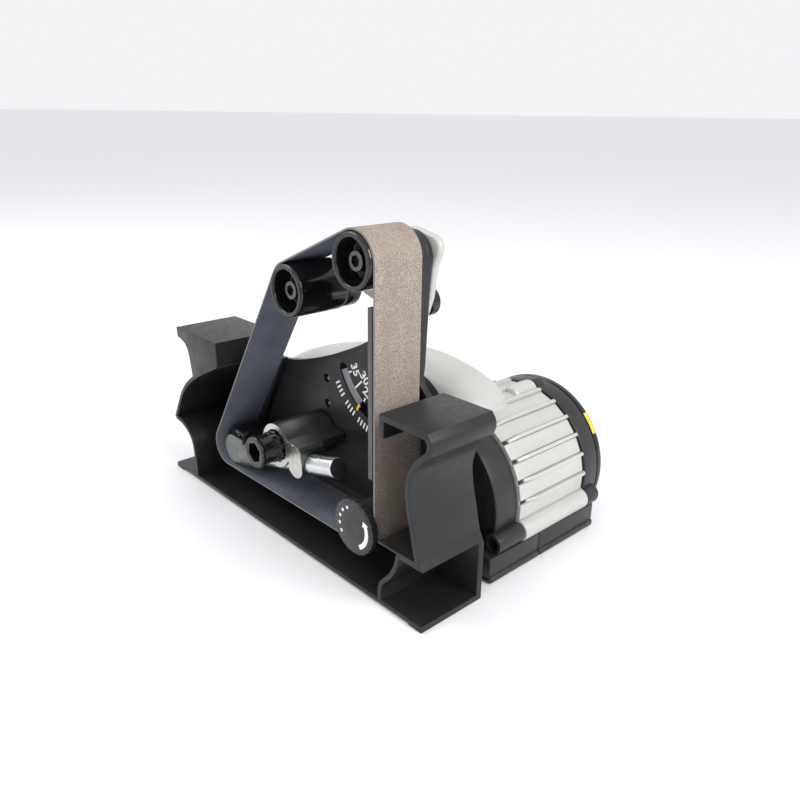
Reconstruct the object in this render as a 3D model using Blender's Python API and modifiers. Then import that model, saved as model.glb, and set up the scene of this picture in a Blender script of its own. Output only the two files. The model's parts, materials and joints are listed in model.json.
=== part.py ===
"""Belt grinder: a narrow belt-grinding attachment on a powered motor unit.

Sizes are in millimetres and the mesh helpers turn them into metres. X runs along the base,
Y runs from the open front of the attachment back to the motor's rear cap, and Z is up from
the table. The design is drawn from the base's front right corner, and DATUM moves that
corner so that the origin is under the middle of the whole object.
"""
import math

import bmesh
import bpy
from mathutils import Matrix, Vector

MM = 0.001
DATUM = (102.55, -66.7, 0.0)

# Base and tool rests
BASE_LENGTH = 207.9
BASE_DEPTH = 36.5
BASE_THICKNESS = 2.8
REST_HEIGHT = 88.7
SHEET = 2.7
WALL_FRONT = 33.2

# Belt and rollers, as (x, z) of each axis
BELT_WIDTH = 25.4
BELT_FRONT = 7.0
BELT_BACK = BELT_FRONT + BELT_WIDTH
BELT_CLEARANCE = 0.3
BELT_THICKNESS = 0.8
TOP_AXIS = (-50.2, 143.8)
LEFT_AXIS = (-95.5, 124.3)
CORNER_AXIS = (-161.3, 26.6)
DRIVE_AXIS = (-47.6, 27.4)
IDLER_RADIUS = 12.0
SMALL_RADIUS = 9.4

# Cassette plate
PLATE_FRONT = 36.8
PLATE_BACK = 40.3
DIAL_AXIS = (-62.9, 95.9)
SLOT_RADIUS = 34.5
SLOT_HALF_WIDTH = 2.9
SLOT_ANGLES = (199.0, 285.0)
POINTER_ANGLE = 237.0
TRACKING_AXIS = (-49.4, 122.0)
PLATE_SCREWS = [(-174.0, 44.0), (-153.5, 67.5), (-29.5, 70.0), (-29.5, 16.0)]
CASTING_SCREWS = [(-119.2, 47.0), (-105.8, 39.5)]

# Belt tensioner
HUB_AXIS = (-112.4, 43.6)
HUB_RADIUS = 11.3
HUB_BORE = 8.3
SLEEVE_RADIUS = 7.9
ROD_POINT = (-91.3, 14.0, 39.3)
ROD_SLOPE = math.radians(14.3)
ROD_RADIUS = 5.0

# Power unit
COLLAR_FRONT = 55.0
RIB_FRONT = 70.3
RIB_BACK = 119.7
CAP_BACK = 131.0
BEZEL_BACK = 136.4
DIAL_BACK = 138.4
COLLAR_RADIUS = 38.6
PANEL_RADIUS = 40.2
RIB_RADIUS = 42.0
CAP_RADIUS = 40.9
DIAL_RADIUS = 24.0
SPLIT_HEIGHT = 12.8
FOOT_RIGHT = -3.6
FOOT_LEFT = -91.6
HANDLE_MIDDLE = 82.5
HANDLE_SKIN = 2.4
LOWER_BOSS = (-8.2, 16.8)
UPPER_BOSS = (-44.5, 65.2)
BOSS_RADIUS = 5.3

PALETTE = {
    "black_plastic": ((0.045, 0.045, 0.047), 0.55, 0.0),
    "gloss_black": ((0.012, 0.012, 0.013), 0.18, 0.0),
    "dark_metal": ((0.10, 0.10, 0.105), 0.38, 0.9),
    "steel": ((0.62, 0.62, 0.60), 0.24, 1.0),
    "zinc": ((0.40, 0.40, 0.37), 0.42, 0.9),
    "silver_plastic": ((0.60, 0.61, 0.57), 0.36, 0.1),
    "abrasive": ((0.30, 0.24, 0.20), 0.95, 0.0),
    "graphite": ((0.03, 0.03, 0.035), 0.7, 0.0),
    "brass": ((0.60, 0.42, 0.16), 0.3, 1.0),
    "yellow": ((0.85, 0.58, 0.05), 0.5, 0.0),
    "rubber": ((0.02, 0.02, 0.02), 0.8, 0.0),
}


def clear_scene():
    for obj in list(bpy.data.objects):
        bpy.data.objects.remove(obj, do_unlink=True)


def make_collection(name):
    collection = bpy.data.collections.new(name)
    bpy.context.scene.collection.children.link(collection)
    return collection


clear_scene()
PARTS = make_collection("belt_grinder")
CUTTERS = make_collection("cutters")


def material(name):
    """The Principled material of one finish, made once."""
    found = bpy.data.materials.get(name)
    if found:
        return found
    colour, roughness, metallic = PALETTE[name]
    made = bpy.data.materials.new(name)
    made.use_nodes = True
    shader = made.node_tree.nodes["Principled BSDF"]
    shader.inputs["Base Color"].default_value = (*colour, 1.0)
    shader.inputs["Roughness"].default_value = roughness
    shader.inputs["Metallic"].default_value = metallic
    return made


def place(x, y, z):
    """A point of the drawing, in world metres."""
    return Vector(((x + DATUM[0]) * MM, (y + DATUM[1]) * MM, (z + DATUM[2]) * MM))


def add_object(name, mesh, origin, finish, rotation=(0.0, 0.0, 0.0)):
    """Put a mesh in the scene: a named part, or a hidden guide where finish is None."""
    obj = bpy.data.objects.new(name, mesh)
    obj.location = place(*origin)
    obj.rotation_euler = rotation
    if finish is None:
        CUTTERS.objects.link(obj)
        obj.hide_render = True
        obj.display_type = "WIRE"
    else:
        PARTS.objects.link(obj)
        mesh.materials.append(material(finish))
    return obj


def cut(target, *cutters):
    for cutter in cutters:
        modifier = target.modifiers.new("cut", "BOOLEAN")
        modifier.operation = "DIFFERENCE"
        modifier.object = cutter
    return target


def join(target, *additions):
    for addition in additions:
        modifier = target.modifiers.new("join", "BOOLEAN")
        modifier.operation = "UNION"
        modifier.object = addition
    return target


def finish_mesh(mesh):
    build = bmesh.new()
    build.from_mesh(mesh)
    bmesh.ops.remove_doubles(build, verts=build.verts, dist=1e-6)
    bmesh.ops.recalc_face_normals(build, faces=build.faces)
    build.to_mesh(mesh)
    build.free()
    mesh.shade_smooth()
    mesh.set_sharp_from_angle(angle=math.radians(35))


def prism(name, loops, front, back, finish, origin=None):
    """A flat outline in XZ, swept from depth front to back; further loops are holes in it."""
    ox, oz = origin or loops[0][0]
    curve = bpy.data.curves.new(name, "CURVE")
    curve.dimensions = "2D"
    curve.fill_mode = "BOTH"
    curve.extrude = (back - front) / 2 * MM
    for loop in loops:
        spline = curve.splines.new("POLY")
        spline.points.add(len(loop) - 1)
        spline.use_cyclic_u = True
        for point, (x, z) in zip(spline.points, loop):
            point.co = ((x - ox) * MM, (z - oz) * MM, 0.0, 1.0)
    drawn = bpy.data.objects.new(name + "_outline", curve)
    bpy.context.scene.collection.objects.link(drawn)
    bpy.context.view_layer.update()
    graph = bpy.context.evaluated_depsgraph_get()
    mesh = bpy.data.meshes.new_from_object(drawn.evaluated_get(graph))
    mesh.name = name
    bpy.data.objects.remove(drawn, do_unlink=True)
    mesh.transform(Matrix.Rotation(math.radians(90), 4, "X"))
    finish_mesh(mesh)
    return add_object(name, mesh, (ox, (front + back) / 2, oz), finish)


def turned(name, profile, axis, finish, steps=28):
    """A profile of (radius, depth) turned about a line along Y through axis = (x, z)."""
    mesh = bpy.data.meshes.new(name)
    build = bmesh.new()
    points = [build.verts.new((radius * MM, 0.0, depth * MM)) for radius, depth in profile]
    closed = profile[0][0] > 0 and profile[-1][0] > 0
    for first, second in zip(points, points[1:] + points[:1]):
        if closed or second is not points[0]:
            build.edges.new((first, second))
    build.to_mesh(mesh)
    build.free()
    obj = add_object(name, mesh, (axis[0], 0.0, axis[1]), finish, (math.radians(-90), 0, 0))
    screw = obj.modifiers.new("turn", "SCREW")
    screw.steps = steps
    screw.render_steps = steps
    screw.use_merge_vertices = True
    screw.merge_threshold = 0.00001
    screw.use_smooth_shade = True
    return obj


def disc(name, axis, radius, front, back, finish, steps=28):
    """A plain round bar along Y."""
    profile = [(0, back), (radius, back), (radius, front), (0, front)]
    return turned(name, profile, axis, finish, steps)


def ring(name, axis, outer, inner, front, back, finish, steps=28):
    profile = [(outer, back), (outer, front), (inner, front), (inner, back)]
    return turned(name, profile, axis, finish, steps)


def bar(name, start, end, radius, finish, steps=24):
    """A round or many-sided bar between two points of the drawing."""
    first = Vector(start)
    second = Vector(end)
    build = bmesh.new()
    bmesh.ops.create_cone(build, cap_ends=True, segments=steps, radius1=radius * MM,
                          radius2=radius * MM, depth=(second - first).length * MM)
    turn = (second - first).to_track_quat("Z", "Y").to_matrix()
    bmesh.ops.rotate(build, verts=build.verts, cent=(0, 0, 0), matrix=turn)
    mesh = bpy.data.meshes.new(name)
    build.to_mesh(mesh)
    build.free()
    finish_mesh(mesh)
    return add_object(name, mesh, tuple((first + second) / 2), finish)


def block(name, low, high, finish, bevel=0.0):
    """A box between two corners of the drawing, with its edges eased by bevel."""
    build = bmesh.new()
    bmesh.ops.create_cube(build, size=MM)
    size = [b - a for a, b in zip(low, high)]
    bmesh.ops.scale(build, verts=build.verts, vec=size)
    mesh = bpy.data.meshes.new(name)
    build.to_mesh(mesh)
    build.free()
    obj = add_object(name, mesh, tuple((a + b) / 2 for a, b in zip(low, high)), finish)
    if bevel:
        modifier = obj.modifiers.new("ease", "BEVEL")
        modifier.width = bevel * MM
        modifier.segments = 2
    return obj


def arc(centre, radius, start, end, count):
    """Points on an arc, by angle in degrees from +X towards +Z."""
    points = []
    for index in range(count + 1):
        angle = math.radians(start + (end - start) * index / count)
        points.append((centre[0] + radius * math.cos(angle), centre[1] + radius * math.sin(angle)))
    return points


def smooth_line(points, count):
    """A curve through the points, with count steps between each two (Catmull-Rom)."""
    padded = [points[0]] + list(points) + [points[-1]]
    result = []
    for index in range(1, len(padded) - 2):
        a, b, c, d = (Vector(padded[index + k]) for k in (-1, 0, 1, 2))
        for step in range(count):
            t = step / count
            result.append(tuple(0.5 * ((2 * b) + (c - a) * t + (2 * a - 5 * b + 4 * c - d) * t * t
                                       + (3 * b - a - 3 * c + d) * t ** 3)))
    result.append(tuple(points[-1]))
    return result


def band(points, thickness):
    """The outline of a strip of sheet whose middle follows the points."""
    left = []
    right = []
    for index, point in enumerate(points):
        here = Vector(point)
        before = (here - Vector(points[index - 1])).normalized() if index else None
        after = (Vector(points[index + 1]) - here).normalized() if index < len(points) - 1 else None
        along = ((before or after) + (after or before)).normalized()
        across = Vector((-along.y, along.x))
        reach = thickness / 2 / max(0.5, across.dot(Vector((-(before or after).y,
                                                            (before or after).x))))
        left.append(tuple(here + across * reach))
        right.append(tuple(here - across * reach))
    return left + right[::-1]


def rod_point(x):
    """The point of the tension rod's axis at a given x."""
    return (x, ROD_POINT[1], ROD_POINT[2] + (x - ROD_POINT[0]) * math.tan(ROD_SLOPE))


# ---------------------------------------------------------------- the guide frame

RIGHT_PANEL = [(-0.4, 87.35), (1.35, 84.6), (0.7, 80.6), (-3.6, 76.2), (-7.9, 70.4), (-9.9, 62.0),
               (-8.9, 53.0), (-6.4, 43.0), (-4.3, 34.0), (-2.6, 30.1)]
COMPARTMENT_WALL = [(-14.6, 31.0), (-16.3, 23.8), (-19.9, 17.4), (-24.6, 12.2), (-26.1, 8.0),
                    (-26.1, 1.0)]
LEFT_GUARD = [(-152.4, 76.2), (-170.8, 67.3), (-183.2, 59.8), (-191.6, 52.2), (-198.0, 42.6),
              (-203.6, 33.0)]
LEFT_SKIRT = [(-203.6, 33.0), (-196.0, 31.6), (-189.6, 28.2), (-185.4, 22.5), (-184.0, 12.0),
              (-183.8, 1.0)]
REST_LEFT_HOLLOW = [(-192.0, 83.6), (-184.6, 81.2), (-180.9, 75.5), (-178.9, 64.0)]


def guide_frame():
    """One moulding: base tray, rear wall with its window, and the two tool rests."""
    base = block("guide_frame", (-BASE_LENGTH, 0, 0), (0, BASE_DEPTH, BASE_THICKNESS),
                 "black_plastic")
    panel = smooth_line(RIGHT_PANEL, 3)
    right = [(-25.2, 78.6), (-25.2, 87.35)] + panel + [(-14.0, 30.1)]
    right_rest = prism("right_rest", [band(right, SHEET)], 0, BASE_DEPTH, None)
    ledge = block("ledge", (-27.0, 0, 30.5), (-12.0, 35.0, 31.4), None)
    wall = prism("compartment", [band(smooth_line(COMPARTMENT_WALL, 2), 2.2)], 0, 35.2, None)
    guard_line = smooth_line(LEFT_GUARD, 2)
    skirt_line = smooth_line(LEFT_SKIRT, 2)
    guard = prism("guard", [band(guard_line + skirt_line[1:], 2.2)], 0, BASE_DEPTH, None)
    hollow = smooth_line(REST_LEFT_HOLLOW, 2)
    outline = [(-192.3, REST_HEIGHT), (-151.2, REST_HEIGHT), (-151.2, 76.9), (-170.9, 67.3)]
    rest = prism("left_rest", [outline + hollow[::-1]], 0, BASE_DEPTH, None)
    pockets = [
        block("pocket_a", (-164.0, 2.4, 74.6), (-153.8, 40, 86.2), None),
        block("pocket_b", (-178.0, 2.4, 71.0), (-166.4, 40, 86.2), None),
    ]
    rear = [(-184.2, 1.0), (-184.2, 20.0), (-190.0, 28.0), (-203.0, 33.0), (-197.4, 43.0),
            (-190.6, 53.0), (-178.0, 63.5), (-152.4, 76.6), (-140.6, 76.6), (-164.7, 34.0),
            (-167.0, 24.0), (-163.0, 9.0), (-38.0, 9.0), (-36.0, 83.0), (-26.0, 87.0),
            (-1.0, 87.0), (1.0, 83.0), (-8.6, 70.0), (-9.6, 58.0), (-5.0, 38.0), (0.0, 28.0),
            (0.0, 1.0)]
    rear_wall = prism("rear_wall", [rear], WALL_FRONT, BASE_DEPTH, None)
    cut(rest, *pockets)
    join(base, right_rest, ledge, wall, guard, rest, rear_wall)
    holes = [disc("frame_hole", spot, 1.35, WALL_FRONT + 0.9, 50, None, 12) for spot in PLATE_SCREWS]
    raised = block("tray_gap", (8 - BASE_LENGTH, -1, -1), (-8, BASE_DEPTH + 1, 0.9), None)
    cut(base, raised, *holes)


# ---------------------------------------------------------------- the cassette

TOP_EDGE = [(-149.1, 73.9), (-130.6, 77.6), (-113.2, 83.2), (-97.0, 89.7), (-76.8, 99.6),
            (-65.0, 110.0), (-61.6, 122.0), (-61.4, 142.0)]


def cassette_plate():
    """The dark plate behind the belt, with the upright arm that carries the top idler."""
    arm_top = arc((TOP_AXIS[0], 142.5), 11.2, 176, 4, 8)
    outline = [(-180.0, 14.0), (-184.0, 30.0), (-186.0, 44.0), (-178.0, 58.0), (-160.0, 69.6)]
    outline += smooth_line(TOP_EDGE, 2) + arm_top
    outline += [(-40.0, 130.8), (-41.6, 98.2), (-42.0, 90.0), (-38.0, 84.2), (-25.0, 74.0),
                (-25.0, 8.0), (-170.0, 8.0)]
    start, end = SLOT_ANGLES
    slot = arc(DIAL_AXIS, SLOT_RADIUS + SLOT_HALF_WIDTH, start, end, 14)
    slot += arc(DIAL_AXIS, SLOT_RADIUS - SLOT_HALF_WIDTH, end, start, 14)
    drive_hole = arc(DRIVE_AXIS, 13.0, 0, 346, 23)
    axle_hole = arc(TOP_AXIS, 4.2, 0, 337.5, 15)
    holes = [arc(spot, 1.35, 0, 330, 11) for spot in PLATE_SCREWS]
    plate = prism("cassette_plate", [outline, slot, drive_hole, axle_hole] + holes,
                  PLATE_FRONT, PLATE_BACK, "black_plastic")
    dimples = [disc("dimple", spot, 2.3, PLATE_FRONT - 1, PLATE_FRONT + 2, None, 12)
               for spot in ((-108.0, 73.5), (-107.7, 60.1))]
    pivot = disc("pivot_hole", DIAL_AXIS, 2.55, PLATE_BACK - 2.2, PLATE_BACK + 1, None, 16)
    sockets = [disc("casting_hole", spot, 1.45, PLATE_FRONT - 1, PLATE_BACK + 1, None, 12)
               for spot in CASTING_SCREWS]
    return cut(plate, pivot, *dimples, *sockets)


def platen():
    """The upright bar behind the straight run of the belt, with its foot and face pad."""
    strip = block("platen", (-42.2, 7.6, 52.0), (-39.5, 34.0, 127.0), "dark_metal")
    join(strip, block("platen_foot", (-57.0, 33.0, 66.0), (-41.2, 36.5, 112.0), None))
    block("platen_face", (-39.2, 7.6, 52.0), (-38.2, 32.2, 127.0), "graphite")


def idlers():
    """The two upper rollers with their axle screws and bearings, and the arm behind them."""
    for name, axis in (("top", TOP_AXIS), ("left", LEFT_AXIS)):
        front = 5.6
        back = 33.0
        roller = [(IDLER_RADIUS - 0.9, back), (IDLER_RADIUS, back - 1.5),
                  (IDLER_RADIUS, front + 1.6), (IDLER_RADIUS - 0.8, front), (9.5, front),
                  (9.3, front + 9.5), (5.6, front + 9.5), (5.6, back)]
        turned(name + "_idler", roller, axis, "gloss_black", 32)
        ring(name + "_idler_bearing", axis, 5.5, 2.9, front + 11, front + 15, "steel", 20)
        stem_back = 44.6
        axle = [(0, stem_back), (2.8, stem_back), (2.8, 14.2), (4.2, 14.2), (4.2, 8.3),
                (2.3, 8.3), (2.3, 11.0), (0, 11.0)]
        turned(name + "_axle", axle, axis, "dark_metal", 18)
    ring("left_idler_spacer", LEFT_AXIS, 11.4, 3.0, 33.4, 40.6, "gloss_black", 28)
    outline = arc((-95.5, 124.3), 11.0, 110, 236, 8)
    outline += [(-88.4, 121.5), (-77.8, 118.1), (-54.0, 110.4)]
    outline += arc((-49.0, 114.0), 4.0, 250, 372, 5)
    outline += [(-41.2, 125.1), (-39.2, 138.4)]
    outline += arc((-41.8, 146.6), 5.7, -28, 75, 6)
    outline += arc((-52.0, 144.2), 10.0, 80, 118, 3)
    holes = [arc(axis, 2.95, 0, 330, 11) for axis in (TOP_AXIS, LEFT_AXIS)]
    arm = prism("idler_arm", [outline] + holes, 40.9, 44.9, "silver_plastic")
    cut(arm, disc("knob_hole", TRACKING_AXIS, 2.25, 40, 46, None, 14))
    knob = [(0, 50.4), (5.8, 50.4), (6.4, 49.8), (6.4, 46.0), (5.8, 45.3), (2.15, 45.3),
            (2.15, 41.2), (0, 41.2)]
    turned("tracking_knob", knob, TRACKING_AXIS, "black_plastic", 24)


def dial():
    """The pointer that shows the set angle, and the plate behind its slot."""
    low = POINTER_ANGLE - 1.9
    high = POINTER_ANGLE + 1.9
    spoke = arc(DIAL_AXIS, 36.0, low, high, 2) + arc(DIAL_AXIS, 5.0, POINTER_ANGLE + 40,
                                                    POINTER_ANGLE + 320, 12)
    pointer = prism("angle_pointer", [spoke], 40.6, 42.0, "yellow", DIAL_AXIS)
    tab = arc(DIAL_AXIS, SLOT_RADIUS + 1.5, low + 0.3, high - 0.3, 2)
    tab += arc(DIAL_AXIS, SLOT_RADIUS - 1.5, high - 0.3, low + 0.3, 2)
    tip = arc(DIAL_AXIS, SLOT_RADIUS + 4.4, low + 0.8, high - 0.8, 2)
    tip += arc(DIAL_AXIS, SLOT_RADIUS - 1.7, high, low, 2)
    join(pointer, prism("pointer_tab", [tab], 36.2, 41.2, None),
         prism("pointer_tip", [tip], 35.9, 36.5, None),
         disc("pointer_pivot", DIAL_AXIS, 2.5, 38.4, 41.0, None, 16))
    start, end = SLOT_ANGLES
    shape = arc(DIAL_AXIS, SLOT_RADIUS + 5, start - 8, end + 5, 12)
    shape += arc(DIAL_AXIS, 5.0, end + 5, start - 8, 6)
    prism("dial_backing", [shape], 42.3, 43.6, "silver_plastic")


def tensioner():
    """The casting on the plate, the hex adjuster in it, and the sprung rod with its yoke."""
    casting = disc("tension_casting", HUB_AXIS, HUB_RADIUS, 7.2, 36.5, "zinc", 32)
    lobe = [(-101.6, 48.4), (-101.6, 40.0)] + arc((-96.3, 38.0), 6.2, 205, 335, 6)
    lobe += [(-90.6, 40.0), (-91.8, 46.6), (-93.6, 48.4)]
    join(casting,
         prism("lobe", [lobe], 7.2, 22.4, None),
         prism("web", [[(-108.0, 44.2), (-93.6, 44.2), (-93.6, 48.4), (-106.0, 48.4)]],
               7.2, 36.5, None))
    cut(casting,
        disc("hub_bore", HUB_AXIS, HUB_BORE, 0, 33.0, None, 32),
        bar("rod_bore", rod_point(-140), rod_point(-80), ROD_RADIUS + 0.15, None, 28),
        *[disc("casting_thread", spot, 1.45, 33.4, 50, None, 12) for spot in CASTING_SCREWS])
    adjuster = disc("hex_adjuster", HUB_AXIS, SLEEVE_RADIUS, -5.0, 8.5, "gloss_black", 28)
    stem = disc("stem", HUB_AXIS, 4.1, 8.0, 32.6, None, 18)
    hexagon = bar("hex_hole", (HUB_AXIS[0], -8, HUB_AXIS[1]), (HUB_AXIS[0], 4, HUB_AXIS[1]), 5.6,
                  None, 6)
    join(adjuster, stem)
    cut(adjuster, hexagon)
    spring()
    bar("tension_rod", rod_point(-147.0), rod_point(-70.6), ROD_RADIUS, "steel", 24)
    yoke = prism("tension_yoke",
                 [arc((-155.3, 26.8), 8.2, 100, 262, 10) + [(-146.0, 20.6), (-146.0, 35.0)]],
                 8.0, 11.0, "zinc")
    socket = bar("yoke_socket", rod_point(-149.6), rod_point(-133.0), 7.2, None, 24)
    join(yoke, socket)
    cut(yoke, bar("socket_bore", rod_point(-147.3), rod_point(-120.0), ROD_RADIUS + 0.05, None, 28),
        disc("axle_bore", CORNER_AXIS, 2.3, 0, 40, None, 16))
    axle = [(0, 32.0), (2.2, 32.0), (2.2, 7.4), (0, 7.4)]
    turned("corner_axle", axle, CORNER_AXIS, "steel", 18)
    ring("corner_bushing", CORNER_AXIS, 5.4, 2.35, 11.3, 13.2, "steel", 24)
    roller = [(SMALL_RADIUS - 0.6, 32.2), (SMALL_RADIUS, 31.4), (SMALL_RADIUS, 14.4),
              (SMALL_RADIUS - 0.8, 13.5), (2.3, 13.5), (2.3, 32.2)]
    turned("corner_roller", roller, CORNER_AXIS, "gloss_black", 28)


def spring():
    """The torsion spring coiled round the adjuster's stem, inside the casting."""
    turns = 5
    per_turn = 12
    curve = bpy.data.curves.new("tension_spring", "CURVE")
    curve.dimensions = "3D"
    curve.bevel_depth = 0.6 * MM
    curve.bevel_resolution = 1
    curve.use_fill_caps = True
    spline = curve.splines.new("POLY")
    spline.points.add(turns * per_turn)
    for index, point in enumerate(spline.points):
        angle = math.tau * index / per_turn
        point.co = (6.2 * math.cos(angle) * MM, index * 2.0 / per_turn * MM,
                    6.2 * math.sin(angle) * MM, 1.0)
    coil = bpy.data.objects.new("tension_spring", curve)
    curve.materials.append(material("steel"))
    coil.location = place(HUB_AXIS[0], 20.6, HUB_AXIS[1])
    PARTS.objects.link(coil)


def belt_outline(extra, count):
    """The line round the four rollers at a given distance outside them."""
    wheels = [(TOP_AXIS, IDLER_RADIUS), (LEFT_AXIS, IDLER_RADIUS), (CORNER_AXIS, SMALL_RADIUS),
              (DRIVE_AXIS, SMALL_RADIUS)]
    leaving = []
    for index, (axis, radius) in enumerate(wheels):
        following, next_radius = wheels[(index + 1) % len(wheels)]
        span = Vector(following) - Vector(axis)
        heading = math.degrees(math.atan2(span.y, span.x))
        lean = math.degrees(math.asin((radius - next_radius) / span.length))
        leaving.append(heading - 90 + lean)
    points = []
    for index, (axis, radius) in enumerate(wheels):
        start = leaving[index - 1]
        end = leaving[index]
        while end < start:
            end += 360
        points += arc(axis, radius + extra, start, end, count)
    return points


def belt_drive():
    """The belt, the drive roller, and the knob that clamps it on the motor's shaft."""
    inner = belt_outline(BELT_CLEARANCE, 9)
    outer = belt_outline(BELT_CLEARANCE + BELT_THICKNESS, 9)
    prism("abrasive_belt", [outer, inner], BELT_FRONT, BELT_BACK, "abrasive")
    roller = [(SMALL_RADIUS, 32.6), (SMALL_RADIUS, 7.3), (4.05, 7.3), (4.05, 32.6)]
    turned("drive_roller", roller, DRIVE_AXIS, "rubber", 28)
    knob = [(0, 20.0), (2.5, 20.0), (2.5, 6.9), (12.6, 6.9), (13.25, 6.2), (13.25, 4.2),
            (12.5, 3.4), (0, 3.4)]
    turned("hand_knob", knob, DRIVE_AXIS, "black_plastic", 32)
    shaft = [(0, 130.8), (4.0, 130.8), (4.0, 7.4), (2.55, 7.4), (2.55, 22.0), (0, 22.0)]
    turned("motor_shaft", shaft, DRIVE_AXIS, "steel", 20)


# ---------------------------------------------------------------- the power unit

BARREL = DRIVE_AXIS
FINS = 15
FIN_PITCH = 14.1


def dome(radius, floor, count):
    """The round top of a barrel above the height floor, right side to left side."""
    drop = math.degrees(math.asin((floor - BARREL[1]) / radius))
    return arc(BARREL, radius, drop, 180 - drop, count)


def finned_dome(floor):
    """The barrel's outer line: flat panels with a thin fin between each two."""
    drop = math.degrees(math.asin((floor - BARREL[1]) / PANEL_RADIUS))
    points = []
    edge = drop
    for index in range(FINS):
        middle = 90 + FIN_PITCH * (index - (FINS - 1) / 2)
        points += arc(BARREL, PANEL_RADIUS, edge, middle - 0.1 * FIN_PITCH, 1)
        points += arc(BARREL, RIB_RADIUS, middle - 0.07 * FIN_PITCH, middle + 0.07 * FIN_PITCH, 1)
        edge = middle + 0.1 * FIN_PITCH
    return points + arc(BARREL, PANEL_RADIUS, edge, 180 - drop, 1)


def housing_section(name, outline, inner_radius, front, back, finish):
    """A housing section: an outer line above the foot, hollowed to an inner radius."""
    inside = dome(inner_radius, SPLIT_HEIGHT, 20)
    return prism(name, [outline + inside[::-1]], front, back, finish)


def housings():
    """The black collar, the finned silver barrel and the black rear cap."""
    floor = SPLIT_HEIGHT
    inner = 35.8
    collar_back = RIB_FRONT - 0.3
    collar = housing_section("front_collar", dome(COLLAR_RADIUS, floor, 24), inner, COLLAR_FRONT,
                             collar_back, "black_plastic")
    face = prism("collar_face", [dome(37.0, floor + 0.3, 24)], COLLAR_FRONT + 0.2,
                 COLLAR_FRONT + 3, None)
    boss = disc("collar_boss", LOWER_BOSS, 4.8, COLLAR_FRONT - 3, collar_back - 0.1, None, 18)
    join(collar, face, boss)
    cut(collar, disc("collar_bore", BARREL, 22.3, 50, 60, None, 28),
        disc("boss_bore", LOWER_BOSS, 2.9, 40, COLLAR_FRONT + 7, None, 14),
        disc("boss_pilot", LOWER_BOSS, 1.7, 40, 90, None, 12))

    housing = housing_section("motor_housing", finned_dome(floor), inner, RIB_FRONT, RIB_BACK,
                              "silver_plastic")
    join(housing,
         disc("side_boss", LOWER_BOSS, BOSS_RADIUS, RIB_FRONT + 0.1, RIB_BACK - 0.1, None, 20),
         disc("top_boss", UPPER_BOSS, BOSS_RADIUS, 103.0, RIB_BACK - 0.1, None, 20))
    cut(housing, disc("side_pilot", LOWER_BOSS, 1.7, 60, 130, None, 12),
        disc("top_pilot", UPPER_BOSS, 1.7, RIB_BACK - 14, 130, None, 12))

    cap_front = RIB_BACK + 0.3
    cap = housing_section("rear_cap", dome(CAP_RADIUS, floor, 24), inner, cap_front, CAP_BACK,
                          "black_plastic")
    join(cap, prism("cap_face", [dome(37.0, floor + 0.3, 24)], CAP_BACK - 3, CAP_BACK - 0.1, None),
         disc("cap_side_boss", LOWER_BOSS, BOSS_RADIUS, cap_front + 0.1, CAP_BACK - 1, None, 20),
         disc("cap_top_boss", UPPER_BOSS, BOSS_RADIUS, cap_front + 0.1, CAP_BACK - 5, None, 20))
    cut(cap, disc("cap_bearing_seat", BARREL, 8.1, 115, 140, None, 20),
        disc("cap_side_pilot", LOWER_BOSS, 1.7, 115, CAP_BACK - 4, None, 12),
        disc("cap_top_pilot", UPPER_BOSS, 1.7, 115, CAP_BACK - 3, None, 12),
        disc("cap_top_seat", UPPER_BOSS, 2.9, CAP_BACK - 8.7, 140, None, 14))
    bezel = [(DIAL_RADIUS + 0.5, BEZEL_BACK), (37.0, BEZEL_BACK), (40.0, BEZEL_BACK - 1.0),
             (41.0, BEZEL_BACK - 2.6), (41.0, CAP_BACK + 0.3), (DIAL_RADIUS + 0.5, CAP_BACK + 0.3)]
    rim = turned("rear_bezel", bezel, BARREL, "gloss_black", 40)
    cut(rim, block("rim_floor", (-100, 120, -30), (20, 150, floor), None))
    dial_wheel = [(0, DIAL_BACK), (21.0, DIAL_BACK), (DIAL_RADIUS - 0.8, DIAL_BACK - 1.2),
                  (DIAL_RADIUS, CAP_BACK + 1.0), (DIAL_RADIUS, CAP_BACK + 0.4),
                  (0, CAP_BACK + 0.4)]
    turned("speed_dial", dial_wheel, BARREL, "black_plastic", 36)


def foot():
    """The tray that the motor stands on, and the screws that close the housings."""
    tray = block("motor_foot", (FOOT_LEFT, 47.0, 0), (FOOT_RIGHT, 127.0, SPLIT_HEIGHT - 0.3),
                 "black_plastic", 1.2)
    cut(tray, block("foot_pocket", (FOOT_LEFT + 3, 50.0, 3.0), (FOOT_RIGHT - 3, 124.0, 40), None),
        disc("foot_bore", BARREL, 22.6, 40, 53, None, 28),
        disc("foot_boss_seat", LOWER_BOSS, BOSS_RADIUS + 0.4, 40, 140, None, 24))
    for name, spot, first, last, head in (
            ("side_screw", LOWER_BOSS, COLLAR_FRONT + 6.6, 118.0, COLLAR_FRONT + 3.6),
            ("top_screw", UPPER_BOSS, CAP_BACK - 8.4, RIB_BACK - 12.0, CAP_BACK - 5.4)):
        ends = [(0, last), (1.5, last), (1.5, first), (2.7, first), (2.7, head), (0, head)]
        turned(name, ends if last > first else ends[::-1], spot, "dark_metal", 14)


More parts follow.
